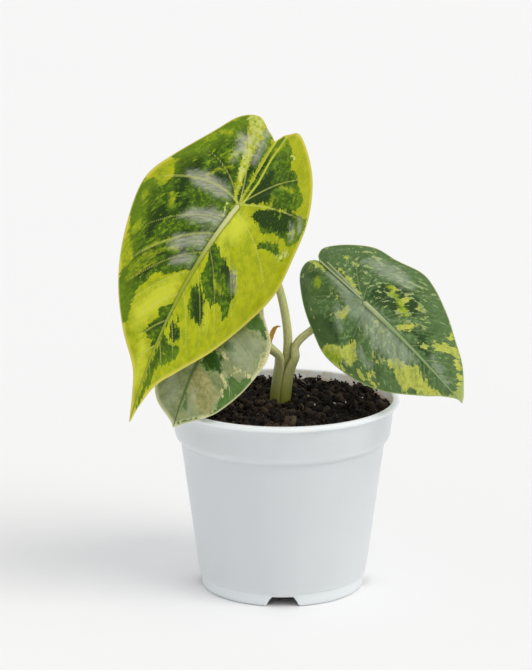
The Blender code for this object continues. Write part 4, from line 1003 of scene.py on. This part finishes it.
def leaf_finish(name, column, painted_sheen_share, fleck_level, gloss, rim_width):
    """Layers from the bottom: pale ground, lighter lime painted sheen, green with torn borders and
    its blocks, deep green, painted shade beside the side veins, flecks, pale streaks, bright
    blotches, painted highlight on the cleft's crests, pale grey painted sheen with some of the
    wax's own bloom, veins, painted shade beside the midrib, midrib, margin, and a duller
    tint underneath.  The column says which leaf's tints to take."""
    finish, tree, shader = new_finish(name, Roughness=0.4, IOR=1.45, Specular_IOR_Level=gloss)
    tint = {key: linear(colours[column]) for key, colours in TINTS.items()}

    def value(key):
        return add(tree, "ShaderNodeAttribute", attribute_name=key).outputs["Fac"]

    def noise(size, detail=3.0, stretch=1.0, shift=0.0):
        """Noise with blobs of a size in mm; a stretched one follows the side veins."""
        frame_name = "flat" if stretch == 1.0 else "flow"
        vector = add(tree, "ShaderNodeAttribute", attribute_name=frame_name).outputs["Vector"]
        scaled = add(tree, "ShaderNodeMapping", {"Vector": vector},
                     {"Scale": (1.0 / size, 1.0 / (size * stretch), 1.0),
                      "Location": (shift, 0, shift)})
        return add(tree, "ShaderNodeTexNoise", {"Vector": scaled.outputs[0]},
                   {"Scale": 1.0, "Detail": detail, "Roughness": 0.6}).outputs["Fac"]

    def calculate(kind, *items):
        made = add(tree, "ShaderNodeMath", operation=kind)
        for index, item in enumerate(items):
            if isinstance(item, bpy.types.NodeSocket):
                tree.links.new(item, made.inputs[index])
            else:
                made.inputs[index].default_value = item
        return made.outputs[0]

    def share(socket, low, high, most=1.0):
        """0 at low and the most at high, eased between; low may be the larger."""
        return add(tree, "ShaderNodeMapRange", {"Value": socket},
                   {"From Min": low, "From Max": high, "To Max": most},
                   interpolation_type="SMOOTHSTEP").outputs[0]

    def lay(base, amount, key):
        """The layer's tint laid over a base by an amount."""
        return blend_colour(tree, amount, base, tint[key])

    broad = noise(5.0, 3.0, 1.0, 5.0)
    along_veins = noise(3.0, 2.0, 2.2)
    torn = noise(1.5, 2.5, 1.0, 3.0)
    ragged = calculate("ADD", calculate("MULTIPLY_ADD", along_veins, 9.0, -4.5),
                       calculate("MULTIPLY_ADD", torn, 5.0, -2.5))

    def torn_share(key, amount, soft, most=1.0):
        return share(calculate("MULTIPLY_ADD", ragged, amount, value(key)), soft, -soft, most)

    mottle = noise(2.2, 4.0, 1.0, 7.0)
    fine = noise(0.8, 4.0, 1.4, 9.0)
    colour = blend_colour(tree, share(broad, 0.35, 0.65), tint["ground"], tint["ground_dark"])
    outward = share(value("middle"), 14.0, 42.0, 0.4)
    colour = lay(colour, outward, "ground_far")
    colour = lay(colour, share(fine, 0.45, 0.75, 0.45), "ground_light")
    # Painted sheen: lighter lime patches where the blade catches the light.
    colour = lay(colour, torn_share("painted_lime_sheen", 0.8, 4.0, 0.8), "painted_lime_sheen")
    colour = lay(colour, share(value("edge"), 2.6 * rim_width, 0.3, 0.9), "margin")
    leafy = blend_colour(tree, share(mottle, 0.44, 0.62), tint["green"], tint["green_light"])
    leafy = lay(leafy, share(broad, 0.52, 0.62, 0.8), "green_dark")
    leafy = lay(leafy, torn_share("deep", 0.9, 1.0), "deep")
    leafy = lay(leafy, share(fine, 0.5, 0.72, 0.35), "green_light")
    # Painted shade: darker green beside the side veins, in their furrows.
    beside = calculate("MULTIPLY", share(value("vein"), 2.8, 0.6, 0.5),
                       share(value("edge"), 2.0, 14.0))
    leafy = lay(leafy, beside, "deep")
    by_edge = calculate("MULTIPLY_ADD", ragged, 1.5, value("edge"))
    leafy = lay(leafy, share(by_edge, 13.0, 4.0, 0.6), "green_edge")
    fleck_noise = noise(2.6, 3.0, 1.3, 17.0)
    fleck_place = calculate("MULTIPLY_ADD", share(value("fleck"), 3.0, -2.0), 0.075, fleck_noise)
    flecks = share(fleck_place, fleck_level, fleck_level + 0.07, 0.85)
    leafy = lay(leafy, flecks, "fleck")
    colour = blend_colour(tree, torn_share("green", 0.7, 0.35), colour, leafy)
    pale = blend_colour(tree, share(mottle, 0.46, 0.6, 0.55), tint["pale"], tint["ground_dark"])
    pale = blend_colour(tree, share(fleck_noise, 0.58, 0.64, 0.7), pale, tint["green_light"])
    colour = blend_colour(tree, torn_share("pale", 0.85, 0.35), colour, pale)
    bright = blend_colour(tree, share(mottle, 0.4, 0.65), tint["bright"], tint["bright_dark"])
    colour = blend_colour(tree, torn_share("bright", 0.7, 1.2, 0.9), colour, bright)
    # Lighter lines along the cleft's edges: painted highlight on the lobes' crests.
    colour = lay(colour, share(value("ridge"), 0.45, 0.0, 0.9), "ridge")
    # Painted sheen: pale grey patches, streaked along the veins, where the wax reflects the light;
    # partly the wax's own bloom.
    streak = noise(1.0, 3.0, 5.0, 23.0)
    painted_sheen_amount = calculate("MULTIPLY_ADD", ragged, 0.8, value("painted_sheen"))
    painted_sheen_amount = calculate("MULTIPLY", share(painted_sheen_amount, 3.0, -2.5, painted_sheen_share),
                          calculate("MULTIPLY_ADD", share(streak, 0.35, 0.65), 0.35, 0.65))
    colour = lay(colour, painted_sheen_amount, "painted_sheen")
    vein_line = calculate("MULTIPLY", share(value("vein"), 0.6, 0.1),
                          share(value("edge"), 2.0, 14.0))
    colour = lay(colour, calculate("MULTIPLY", vein_line, 0.5), "vein")
    slim = calculate("MULTIPLY_ADD", value("tipward"), -1.15, 1.35)
    midrib = calculate("DIVIDE", value("middle"), slim)
    rib = blend_colour(tree, share(value("tipward"), 0.02, 0.35), tint["rib_foot"], tint["rib"])
    # Painted shade: a darker band along both sides of the midrib, in its furrows.
    colour = lay(colour, share(midrib, 1.9, 1.2, 0.45), "deep")
    colour = blend_colour(tree, share(midrib, 1.1, 0.6, 0.92), colour, rib)
    colour = lay(colour, share(value("edge"), rim_width, 0.1, 0.8), "margin")
    under = value("under")
    colour = lay(colour, calculate("MULTIPLY", under, 0.55), "under")
    tree.links.new(colour, shader.inputs["Base Color"])
    rough = calculate("MULTIPLY_ADD", mottle, 0.2, 0.28)
    rough = calculate("MULTIPLY_ADD", under, 0.25, rough)
    tree.links.new(calculate("MULTIPLY_ADD", painted_sheen_amount, 0.1, rough), shader.inputs["Roughness"])
    cells = noise(0.55, 2.0, 1.4, 31.0)
    first = add(tree, "ShaderNodeBump", {"Height": mottle}, {"Strength": 0.4, "Distance": 0.0005})
    second = add(tree, "ShaderNodeBump", {"Height": cells, "Normal": first.outputs[0]},
                 {"Strength": 0.3, "Distance": 0.00015})
    tree.links.new(second.outputs[0], shader.inputs["Normal"])
    return finish


large_finish = leaf_finish("waxy lime and green leaf", 0, 0.62, 0.635, 0.2, 0.9)
right_finish = leaf_finish("waxy dark green leaf", 1, 0.66, 0.61, 0.35, 0.7)
left_finish = leaf_finish("waxy sage and olive leaf", 2, 0.5, 0.66, 0.3, 1.1)


# %% [markdown]
# Each blade is built with its values and stands for its solid.

# %% Place the blades
def place_blade(name, blade, finish, node, rows, columns):
    """Build one blade and let it stand for its solid node."""
    sheet = blade_sheet(blade, rows, columns)
    values, flat = blade_values(blade, sheet)
    piece = make_piece(name, sheet["points"], sheet["faces"], finish, values, flat)
    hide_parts(node)
    return piece


print("quick look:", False)
place_blade("large_blade", LARGE, large_finish, "leaf_large", 230, 90)
place_blade("right_blade", RIGHT, right_finish, "leaf_right", 190, 76)
place_blade("left_blade", LEFT, left_finish, "leaf_left", 180, 72)

# %% [markdown]
# ## The stalks
#
# Each leaf has its own stalk.  The foot of a younger leaf's stalk is wrapped by the sheaths
# of the older ones, which open like a sleeve and let it out.  A stalk is a round tube
# carried along a smooth path; a sheath is an oval bent round the tube inside it, which
# narrows to a round stalk where it opens.

# %% Stalk paths
SOIL_LEVEL = 91.2
SOIL_MOUND = 2.6
STEM_X = -1.6
STEM_Y = 4.0
STEM_FOOT = SOIL_LEVEL + SOIL_MOUND - 9.0
STALK_RADIUS = 2.6
SHEATH_THICKNESS = 2.3
GAP = 0.3
FOOT = np.array([STEM_X, STEM_Y, STEM_FOOT])


def blade_joint(blade):
    """Where a stalk ends, under the blade's lower face."""
    return np.array(blade["joint"]) - face_way(blade) * 1.5


def large_path(steps):
    """The large leaf's stalk, straight out of the soil, then leaning left and forward."""
    joint = blade_joint(LARGE)
    rise = joint[2] - FOOT[2]
    leans = [(0, 0, 0), (0.4, 0, .11), (2.0, -.2, .22), (3.9, -.7, .31), (4.0, -1.3, .40),
             (2.4, -2.4, .50), (-0.4, -3.8, .60), (-7.2, -8.0, .78)]
    knots = [FOOT + [x, y, share * rise] for x, y, share in leans]
    knots += [joint - face_way(LARGE) * 9.0 + [1.5, 0, -4.0], joint]
    return smooth_curve(knots, steps)


def side_path(blade, bends, free, share, nudge, steps, start):
    """A side leaf's stalk after its sheath: out through its bends, then up under its blade.
    All places are measured from the plant's foot, and the nudge is sideways at the blade."""
    joint = blade_joint(blade)
    free = FOOT + free
    knots = start + [FOOT + bend for bend in bends]
    knots += [free + (joint - free) * share, joint - face_way(blade) * 6.5 + [nudge, 0, 0], joint]
    return smooth_curve(knots, steps)


LARGE_PATH = large_path(300)


def stalk_at(height):
    """Centre of the large stalk at heights, read off its path."""
    return np.stack([np.interp(height, LARGE_PATH[:, 2], LARGE_PATH[:, k]) for k in range(3)], -1)


# %% [markdown]
# A stalk is not a perfect tube: fine strands run along it, it tapers towards the blade, and it
# narrows a little more just under it.  The radius is a function of the way along and the turn.

# %% Tubes and sheaths
SIDES = 64
SHEATH_STEPS = 63
SIDE_STALK_RADIUS = 1.5


def tube_piece(name, rings, finish, node):
    """Close a stack of rings with a fan at each end; keeps turn and distance as its map."""
    count = rings.shape[0]
    sides = rings.shape[1]
    numbers = np.arange(count * sides).reshape(count, sides)
    faces = grid_faces(numbers, round_columns=True)
    faces += fan_faces(numbers[0], count * sides) + fan_faces(numbers[-1], count * sides + 1)
    middles = rings.mean(axis=1)
    points = np.vstack([rings.reshape(-1, 3), middles[0], middles[-1]])
    walked = np.concatenate([[0], np.cumsum(np.linalg.norm(np.diff(middles, axis=0), axis=1))])
    turn = np.linspace(0, 2 * math.pi, sides, endpoint=False)
    around = np.stack([np.cos(turn), np.sin(turn)], -1)
    grain = np.concatenate([np.broadcast_to(around[None], (count, sides, 2)),
                            np.broadcast_to(walked[:, None, None] / 12.0, (count, sides, 1))], -1)
    grain = np.vstack([grain.reshape(-1, 3), [0, 0, 0], [0, 0, walked[-1] / 12.0]])
    height = np.append(np.repeat(middles[:, 2], sides), [middles[0, 2], middles[-1, 2]])
    flat = np.stack([np.append(np.tile(turn, count), [0, 0]),
                     np.append(np.repeat(walked, sides), [0, walked[-1]]) * MM * 10], -1)
    piece = make_piece(name, points, faces, finish, {"grain": grain, "height": height}, flat)
    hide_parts(node)
    return piece


def large_stalk_rings():
    """Rings round the large path; the radius tapers by a quarter and narrows a little more under
    the blade, and shallow strands are a cosine of eleven turns."""
    path = LARGE_PATH
    way = travel(path)
    across = unit(np.cross(way, [0.0, 1.0, 0.0]))
    over = np.cross(across, way)
    share = np.linspace(0, 1, len(path))
    radius = STALK_RADIUS * (1 - 0.28 * share) * (1 - 0.15 * ease((share - 0.985) / 0.015))
    turn = np.linspace(0, 2 * math.pi, SIDES, endpoint=False)
    strands = 1 + 0.012 * np.cos(11 * turn) + 0.008 * np.cos(17 * turn + 2)
    reach = radius[:, None] * strands[None, :]
    return (path[:, None, :] + across[:, None, :] * (reach * np.cos(turn))[..., None]
            + over[:, None, :] * (reach * np.sin(turn))[..., None])


def sheath_rings(angle, half_angle, opens_at, opening, swell, path_after):
    """A sheath that hugs the large stalk, then rounds off into its own stalk.

    Each ring is an oval bent round a centre that lies behind it.  The wrap narrows with the
    height, over the opening, from half_angle to that of a round stalk.
    """
    out = np.array([math.cos(angle), math.sin(angle), 0.0])

    def roundness(height):
        return ease((height - opens_at + opening / 2) / opening)

    def half_width(height):
        return SHEATH_THICKNESS / 2 * (1 + (swell - 1) * roundness(height))

    height = np.linspace(STEM_FOOT, opens_at, SHEATH_STEPS + 1)
    hugging = stalk_at(height) + out * (STALK_RADIUS + 2 * GAP + half_width(height))[:, None]
    hugging[:, 2] = height
    back = SHEATH_STEPS // 9
    free = side_path(*path_after, SHEATH_STEPS * 4, [hugging[-1 - back], hugging[-1]])
    path = np.vstack([hugging[:-1 - back], free])
    way = travel(path)
    forward = unit(out - way * (way @ out)[:, None])
    side = np.cross(way, forward)
    order = np.arange(len(path))
    late = ease((order - len(hugging)) / (len(path) - len(hugging)))
    half = half_width(path[:, 2])
    half = half + (SIDE_STALK_RADIUS - half) * late
    bend = STALK_RADIUS + 2 * GAP + half
    wide = half_angle + (half / bend - half_angle) * np.maximum(roundness(path[:, 2]), late)
    turn = np.linspace(0, 2 * math.pi, SIDES, endpoint=False)
    along = wide[:, None] * np.sin(turn)[None, :]
    strands = 1 + 0.02 * np.cos(13 * turn) + 0.012 * np.cos(19 * turn + 1)
    blunt = 1 - 0.45 * (1 - np.maximum(roundness(path[:, 2]), late))[:, None]
    section = np.sign(np.cos(turn)) * np.abs(np.cos(turn)) ** blunt
    reach = bend[:, None] + half[:, None] * section * strands[None, :]
    inward = (reach * np.cos(along) - bend[:, None])[..., None]
    return (path[:, None, :] + forward[:, None, :] * inward
            + side[:, None, :] * (reach * np.sin(along))[..., None])


# %% [markdown]
# A stalk's skin is smooth, waxy and translucent, olive near the soil and paler higher up,
# with fine lengthwise strands.  The dry tip is papery and orange brown.

# %% The stalks' finish
def stalk_finish(name, low, high, dark, level, rise):
    """Colour from low to high over a height in mm, with strands drawn out lengthwise."""
    finish, tree, shader = new_finish(name, Roughness=0.38, IOR=1.4, Subsurface_Weight=0.35,
                                      Subsurface_Scale=0.003, Specular_IOR_Level=0.35,
                                      Subsurface_Radius=(1.0, 0.95, 0.4))
    low, high, dark = linear(low), linear(high), linear(dark)
    tall = add(tree, "ShaderNodeAttribute", attribute_name="height").outputs["Fac"]
    grain = add(tree, "ShaderNodeAttribute", attribute_name="grain").outputs["Vector"]
    fade = add(tree, "ShaderNodeMapRange", {"Value": tall},
               {"From Min": level, "From Max": level + rise}, interpolation_type="SMOOTHSTEP")
    colour = blend_colour(tree, fade.outputs[0], low, high)
    strand = add(tree, "ShaderNodeTexNoise", {"Vector": grain}, {"Scale": 5.0, "Detail": 4.0})
    shade = add(tree, "ShaderNodeMapRange", {"Value": strand.outputs["Fac"]},
                {"From Min": 0.4, "From Max": 0.7, "To Max": 0.5})
    colour = blend_colour(tree, shade.outputs[0], colour, dark)
    tree.links.new(colour, shader.inputs["Base Color"])
    gloss = add(tree, "ShaderNodeMapRange", {"Value": strand.outputs["Fac"]},
                {"To Min": 0.3, "To Max": 0.5})
    tree.links.new(gloss.outputs[0], shader.inputs["Roughness"])
    bump = add(tree, "ShaderNodeBump", {"Height": strand.outputs["Fac"]},
               {"Strength": 0.3, "Distance": 0.0004})
    tree.links.new(bump.outputs[0], shader.inputs["Normal"])
    return finish


stalk_skin = stalk_finish("waxy olive stalk skin", "#7c7e22", "#cfd092",
                          "#8b9044", 90.0, 48.0)
sheath_skin = stalk_finish("waxy olive sheath skin", "#7e8126", "#d2d398",
                           "#8f944a", 90.0, 46.0)
dry_skin = stalk_finish("papery dry sheath", "#cfae5c", "#c08a3c",
                        "#a06a2c", 122.0, 16.0)

tube_piece("large_stalk", large_stalk_rings(), stalk_skin, "petiole_large")
# Angle and half angle in degrees, opening height above the foot, its length, the swell, the path.
SHEATHS = {
    "right": (-20, 72, 35.0, 24.0, 2.1,
              (RIGHT, ([8.1, -2.9, 41.0], [13.8, -4.0, 47.8]), [26.5, -6.0, 57.0], 0.1, -2.5)),
    "left": (196, 70, 36.0, 13.0, 2.4,
             (LEFT, ([-8.2, -2.3, 43.0], [-11.0, -3.6, 49.0]), [-15.0, -5.0, 53.0], 0.15, 2.0)),
}
for hand, (angle, half_angle, opens, opening, swell, path) in SHEATHS.items():
    rings = sheath_rings(math.radians(angle), math.radians(half_angle), STEM_FOOT + opens,
                         opening, swell, path)
    tube_piece(hand + "_stalk", rings, sheath_skin, "petiole_" + hand)


# %% [markdown]
# The oldest sheath has dried to a papery tip.  It is a flat tube along a hooked path.

# %% The dried tip of an old sheath
def dry_tip_rings(steps=90):
    """A narrow papery ribbon, widest past its middle, which curls over at its top and whose
    edges ripple: width times cos, thickness times sin, carried along a hooked path."""
    base = stalk_at(np.array([STEM_FOOT + 48.0]))[0]
    knots = base + np.array([(-9.4, 2.6, -12.0), (-8.9, 2.0, -6.7), (-8.2, 1.2, -2.3),
                             (-7.0, 0.8, 1.0), (-5.4, 0.4, 2.6), (-3.6, 0.0, 2.8)])
    path = smooth_curve(knots, steps)
    width = smooth_curve(np.array([.5, .8, 1.2, 1.2, .6, .2])[:, None], steps)[:, 0]
    way = travel(path)
    across = unit(np.cross(way, [0.0, 1.0, 0.0]))
    over = np.cross(across, way)
    turn = np.linspace(0, 2 * math.pi, 24, endpoint=False)
    share = np.linspace(0, 1, steps + 1)
    cup = 0.35 * np.cos(turn)[None, :] ** 2 * np.sin(share * 9.0)[:, None]
    wide = width * (1 + 0.06 * np.sin(share * 40))
    return (path[:, None, :] + across[:, None, :] * (wide[:, None] * np.cos(turn))[..., None]
            + over[:, None, :] * (0.3 * np.sin(turn)[None, :] + cup)[..., None])


tube_piece("dry_tip", dry_tip_rings(), dry_skin, "dry_sheath_tip")

# %% [markdown]
# ## The potting mix
#
# The mix is peat and composted bark: dark crumbs of all sizes, pale fibres, splinters of bark
# and a few grains of white perlite.  The solid soil of the frame stays, with its hollow for
# the corm.  A crust with fine relief lies on it, and thousands of small crumbs lie on that.
# Each kind of crumb is one mesh: a small rough blob copied to many places at once.

# %% The crust
rng = np.random.default_rng(7)
WALL_RADIUS = float(inner_radius(SOIL_LEVEL)) - 0.35
STEM_CLEAR = 6.3


def value_noise(x, y, size, seed):
    """Smooth noise: random heights on a square lattice of the given cell, joined by easing."""
    table = np.random.default_rng(seed).random((97, 97))
    u, v = x / size + 40.0, y / size + 40.0
    i, j = np.floor(u).astype(int), np.floor(v).astype(int)
    s, t = ease(u - i), ease(v - j)
    i, j = i % 96, j % 96
    low = table[i, j] * (1 - s) + table[i + 1, j] * s
    high = table[i, j + 1] * (1 - s) + table[i + 1, j + 1] * s
    return low * (1 - t) + high * t


def soil_height(x, y):
    """The solid soil's surface: a low mound round the stem, with small lumps."""
    away = np.hypot(x - STEM_X, y - STEM_Y) / (inner_radius(SOIL_LEVEL))
    lumps = np.sin(x / 4.1 + 1.0) * np.cos(y / 5.3) + np.sin((x + y) / 2.9)
    return SOIL_LEVEL + SOIL_MOUND * np.exp(-3 * away ** 2) + 0.55 * lumps * ease((away - .12) / .1)


def crust_height(x, y):
    """The crust: the soil's surface plus clods, crumbs and grit, each noise of its own size."""
    rough = 3.0 * value_noise(x, y, 6.5, 1) + 2.0 * value_noise(x, y, 2.6, 2)
    rough = rough + 0.9 * value_noise(x, y, 1.1, 3) + 0.4 * value_noise(x, y, 0.55, 4)
    near = np.hypot(x - STEM_X, y - STEM_Y)
    return soil_height(x, y) + 0.7 + (rough - 1.8) * ease((near - 4.5) / 5.0)


def crust_mesh(rings=110, sides=400):
    """A ring-shaped sheet from the stem to the wall, with a lower face inside the solid."""
    turn = np.arange(sides) * 2 * math.pi / sides
    share = np.linspace(0.0, 1.0, rings)[:, None]
    x = (STEM_X + STEM_CLEAR * np.cos(turn)) * (1 - share) + WALL_RADIUS * np.cos(turn) * share
    y = (STEM_Y + STEM_CLEAR * np.sin(turn)) * (1 - share) + WALL_RADIUS * np.sin(turn) * share
    top = np.stack([x, y, np.maximum(crust_height(x, y), soil_height(x, y) + 0.25)], axis=-1)
    low = np.stack([x, y, soil_height(x, y) - 1.6], axis=-1)
    stack = np.concatenate([top, low[::-1]])
    numbers = np.arange(stack.shape[0] * sides).reshape(-1, sides)
    return stack.reshape(-1, 3), grid_faces(numbers, round_columns=True, round_rows=True)


# %% [markdown]
# Damp peat is nearly black and rough, with warm brown where it has dried.  The colour changes
# over a millimetre or two, so the noise has that size.

# %% Finishes of the mix
def mix_finish(name, dark, light, fleck, size, rough, bump_depth, tone=False):
    """An earthy finish: two colours mixed by noise of a size in mm, a few bright flecks."""
    finish, tree, shader = new_finish(name, Roughness=rough, Specular_IOR_Level=0.25)
    dark, light, fleck = linear(dark), linear(light), linear(fleck)
    place = add(tree, "ShaderNodeTexCoord").outputs["Object"]
    broad = add(tree, "ShaderNodeTexNoise", {"Vector": place},
                {"Scale": 1.0 / (size * MM), "Detail": 5.0, "Roughness": 0.65})
    fine = add(tree, "ShaderNodeTexNoise", {"Vector": place},
               {"Scale": 1.0 / (0.35 * MM), "Detail": 2.0})
    share = add(tree, "ShaderNodeMapRange", {"Value": broad.outputs["Fac"]},
                {"From Min": 0.42, "From Max": 0.72})
    colour = blend_colour(tree, share.outputs[0], dark, light)
    if tone:
        own = add(tree, "ShaderNodeAttribute", attribute_name="tone").outputs["Fac"]
        colour = blend_colour(tree, own, colour, fleck)
    else:
        spot = add(tree, "ShaderNodeMapRange", {"Value": fine.outputs["Fac"]},
                   {"From Min": 0.66, "From Max": 0.74, "To Max": 0.7})
        colour = blend_colour(tree, spot.outputs[0], colour, fleck)
    tree.links.new(colour, shader.inputs["Base Color"])
    spread = add(tree, "ShaderNodeMapRange", {"Value": fine.outputs["Fac"]},
                 {"To Min": rough - 0.12, "To Max": min(rough + 0.1, 1.0)})
    tree.links.new(spread.outputs[0], shader.inputs["Roughness"])
    bump = add(tree, "ShaderNodeBump", {"Height": fine.outputs["Fac"]},
               {"Strength": 0.7, "Distance": bump_depth})
    tree.links.new(bump.outputs[0], shader.inputs["Normal"])
    return finish


peat = mix_finish("damp peat", "#0b0805", "#1c1510", "#3a2d20", 1.6, 0.9,
                  0.0004)
crumb_peat = mix_finish("crumbled peat", "#090604", "#1e1610", "#4d3f30",
                        1.2, 0.88, 0.0003, True)
fibre = mix_finish("dry peat fibre", "#33281d", "#5c4c3b", "#8d7b62",
                   2.0, 0.8, 0.0001, True)
bark = mix_finish("composted bark", "#1a120b", "#3a2a1d", "#6b5440", 1.8,
                  0.85, 0.0005)
perlite = mix_finish("expanded perlite", "#d5d1c9", "#f1efea", "#b8b2a8",
                     0.8, 0.95, 0.0003)

points, faces = crust_mesh()
crust = make_piece("soil_crust", points, faces, peat)


# %% [markdown]
# A crumb is a ball of a few dozen faces, stretched and made uneven.  Whole arrays of copies
# are placed at once, so thousands of them take one step.

# %% Crumbs, fibres and grit, many at once
def round_blob(rings, sides):
    """A unit ball as a small closed mesh: rows of latitude and two poles."""
    rise = np.linspace(0, math.pi, rings + 2)[1:-1]
    turn = np.arange(sides) * 2 * math.pi / sides
    body = np.stack([np.sin(rise)[:, None] * np.cos(turn), np.sin(rise)[:, None] * np.sin(turn),
                     np.cos(rise)[:, None] * np.ones(sides)], axis=-1).reshape(-1, 3)
    numbers = np.arange(rings * sides).reshape(rings, sides)
    faces = grid_faces(numbers, round_columns=True)
    faces += fan_faces(numbers[0][::-1], rings * sides) + fan_faces(numbers[-1], rings * sides + 1)
    return np.vstack([body, [0, 0, 1], [0, 0, -1]]), faces


def random_turns(count):
    """Random rotation matrices, from the QR parts of random 3 x 3 matrices."""
    turns, _ = np.linalg.qr(rng.normal(size=(count, 3, 3)))
    return turns * np.sign(np.linalg.det(turns))[:, None, None]


def soil_places(count, reach=1.0, back=0.0):
    """Random places on the crust, clear of the stem, as x and y; back favours the far side."""
    turn = rng.random(count) * 2 * math.pi
    away = np.sqrt(rng.random(count)) * (WALL_RADIUS - 1.0) * reach
    x, y = away * np.cos(turn), away * np.sin(turn)
    y = np.where(rng.random(count) < back, np.abs(y), y)
    near = np.hypot(x - STEM_X, y - STEM_Y)
    push = np.maximum(8.0 - near, 0.0) / np.maximum(near, 0.5)
    return x + (x - STEM_X) * push, y + (y - STEM_Y) * push


def scatter_copies(name, shape, sizes, x, y, lift, finish, tone, rough=0.5):
    """Copy one shape to every place: each copy is stretched by its three sizes, made uneven
    vertex by vertex, turned at random, and set at the crust's height plus a lift."""
    body, faces = shape
    count = len(x)
    uneven = 1 + rough * rng.uniform(-1, 1, (count, len(body), 1))
    copies = body[None] * uneven * sizes[:, None, :]
    copies = np.einsum("nij,nvj->nvi", random_turns(count), copies)
    z = crust_height(x, y) + lift
    copies = copies + np.stack([x, y, z], axis=-1)[:, None, :]
    far = np.hypot(copies[..., 0], copies[..., 1])
    pull = np.minimum(1.0, (WALL_RADIUS - 0.1) / np.maximum(far, 1.0))
    copies[..., :2] *= pull[..., None]
    faces = [[c + k * len(body) for c in face] for k in range(count) for face in faces]
    own = np.repeat(tone, len(body))
    piece = make_piece(name, copies.reshape(-1, 3), faces, finish, {"tone": own}, recalculate=False)
    return piece


small = round_blob(2, 5)
medium = round_blob(4, 7)
big = round_blob(6, 10)

FINE_CRUMBS = 4200
COARSE_CRUMBS = 900
x, y = soil_places(FINE_CRUMBS)
size = rng.lognormal(math.log(0.55), 0.4, (FINE_CRUMBS, 1))
size = size * rng.uniform(0.6, 1.3, (FINE_CRUMBS, 3))
scatter_copies("fine_crumbs", small, size, x, y, size.mean(1) * 0.35, crumb_peat,
               rng.random(FINE_CRUMBS) ** 2 * 0.6)
x, y = soil_places(COARSE_CRUMBS)
size = rng.uniform(0.8, 2.9, (COARSE_CRUMBS, 1)) * rng.uniform(0.5, 1.2, (COARSE_CRUMBS, 3))
scatter_copies("coarse_crumbs", medium, size, x, y, size.mean(1) * 0.45, crumb_peat,
               rng.random(COARSE_CRUMBS) ** 2.2)

# %% [markdown]
# Some crumbs stand up on each other along the edge, where the mix was pressed in by hand.
# They are small stacks: each place gets three crumbs, one above the other, smaller upwards.

# %% Stacked crumbs, bark, fibres and perlite
STACKS = 380
SPLINTERS = 230
GRAINS = 46
turn = rng.uniform(0, 2 * math.pi, STACKS)
away = rng.uniform(30.0, 52.5, STACKS)
base_x, base_y = away * np.cos(turn), away * np.sin(turn)
level = np.tile([0.6, 1.8, 2.9], STACKS)
wobble = rng.uniform(-0.6, 0.6, (2, 3 * STACKS))
x, y = np.repeat(base_x, 3) + wobble[0], np.repeat(base_y, 3) + wobble[1]
size = np.tile([1.25, 0.95, 0.6], STACKS)[:, None] * rng.uniform(0.6, 1.2, (3 * STACKS, 3))
tall = np.repeat(rng.uniform(0.3, 1.9, STACKS), 3)
scatter_copies("stacked_crumbs", medium, size, x, y, level * tall, crumb_peat,
               rng.random(3 * STACKS) ** 3 * 0.5)

x, y = soil_places(SPLINTERS)
ranges = ((1.2, 3.4), (0.5, 1.1), (0.25, 0.6))
size = np.stack([rng.uniform(low, high, SPLINTERS) for low, high in ranges], -1)
scatter_copies("bark_splinters", medium, size, x, y, 0.6, bark,
               rng.random(SPLINTERS), 0.22)
x, y = soil_places(GRAINS)
size = rng.uniform(0.45, 0.95, (GRAINS, 1)) * rng.uniform(0.75, 1.2, (GRAINS, 3))
scatter_copies("perlite_grains", big, size, x, y, 0.7, perlite,
               rng.random(GRAINS), 0.16)


def fibre_mesh(count=520, steps=9):
    """Thin curved threads with three sides: a start on the crust, a heading that drifts, and
    a height that arches above the crust and comes back to it."""
    x, y = soil_places(count, 0.95)
    heading = rng.uniform(0, 2 * math.pi, count)
    drift = rng.uniform(-1.6, 1.6, count)
    length = rng.uniform(3.0, 13.0, count)
    share = np.linspace(0, 1, steps)
    angle = heading[:, None] + drift[:, None] * share
    step = length[:, None] / steps
    px = x[:, None] + np.cumsum(np.cos(angle) * step, axis=1)
    py = y[:, None] + np.cumsum(np.sin(angle) * step, axis=1)
    far = np.hypot(px, py)
    pull = np.minimum(1.0, (WALL_RADIUS - 0.8) / far)
    px, py = px * pull, py * pull
    arch = np.sin(share * math.pi) * rng.uniform(0.0, 1.6, count)[:, None]
    pz = crust_height(px, py) + 0.25 + arch
    path = np.stack([px, py, pz], axis=-1)
    way = unit(np.gradient(path, axis=1))
    across = unit(np.cross(way, [0.0, 0.0, 1.0]))
    over = np.cross(across, way)
    radius = (0.09 + 0.34 * rng.random(count) ** 2.5)[:, None] * (1 - 0.6 * share)
    rings = []
    for turn in (0.0, 2 * math.pi / 3, 4 * math.pi / 3):
        rings.append(path + across * (radius * math.cos(turn))[..., None]
                     + over * (radius * math.sin(turn))[..., None])
    rings = np.stack(rings, axis=2)
    numbers = np.arange(steps * 3).reshape(steps, 3)
    faces = grid_faces(numbers, round_columns=True)
    faces += [numbers[0][::-1].tolist(), numbers[-1].tolist()]
    faces = [[c + k * steps * 3 for c in face] for k in range(count) for face in faces]
    return rings.reshape(-1, 3), faces, np.repeat(rng.random(count), steps * 3)


points, faces, tone = fibre_mesh()
threads = make_piece("peat_fibres", points, faces, fibre, {"tone": tone})

# %% [markdown]
# ## The pieces that stay
#
# The solid soil, the corm and the roots are under the crust, and the larger chips and perlite
# lie on it.  Their shapes are right, so they keep their solids and only get a finish.

# %% Finishes of the kept nodes
corm_skin = mix_finish("papery corm skin", "#4a2d18", "#7a5230", "#a67c50",
                       3.0, 0.75, 0.0005)
root_skin = mix_finish("pale root skin", "#a8926a", "#cdbd97", "#8a7450",
                       1.5, 0.6, 0.0002)
kinds = {"soil": peat, "corm": corm_skin, "root_": root_skin, "bark_chip": bark, "perlite": perlite}
kept = {name: finish for kind, finish in kinds.items()
        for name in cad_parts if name.startswith(kind)}
for name, finish in kept.items():
    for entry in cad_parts[name].material_slots:
        entry.material = finish
print("kept nodes with a new finish:", len(kept))
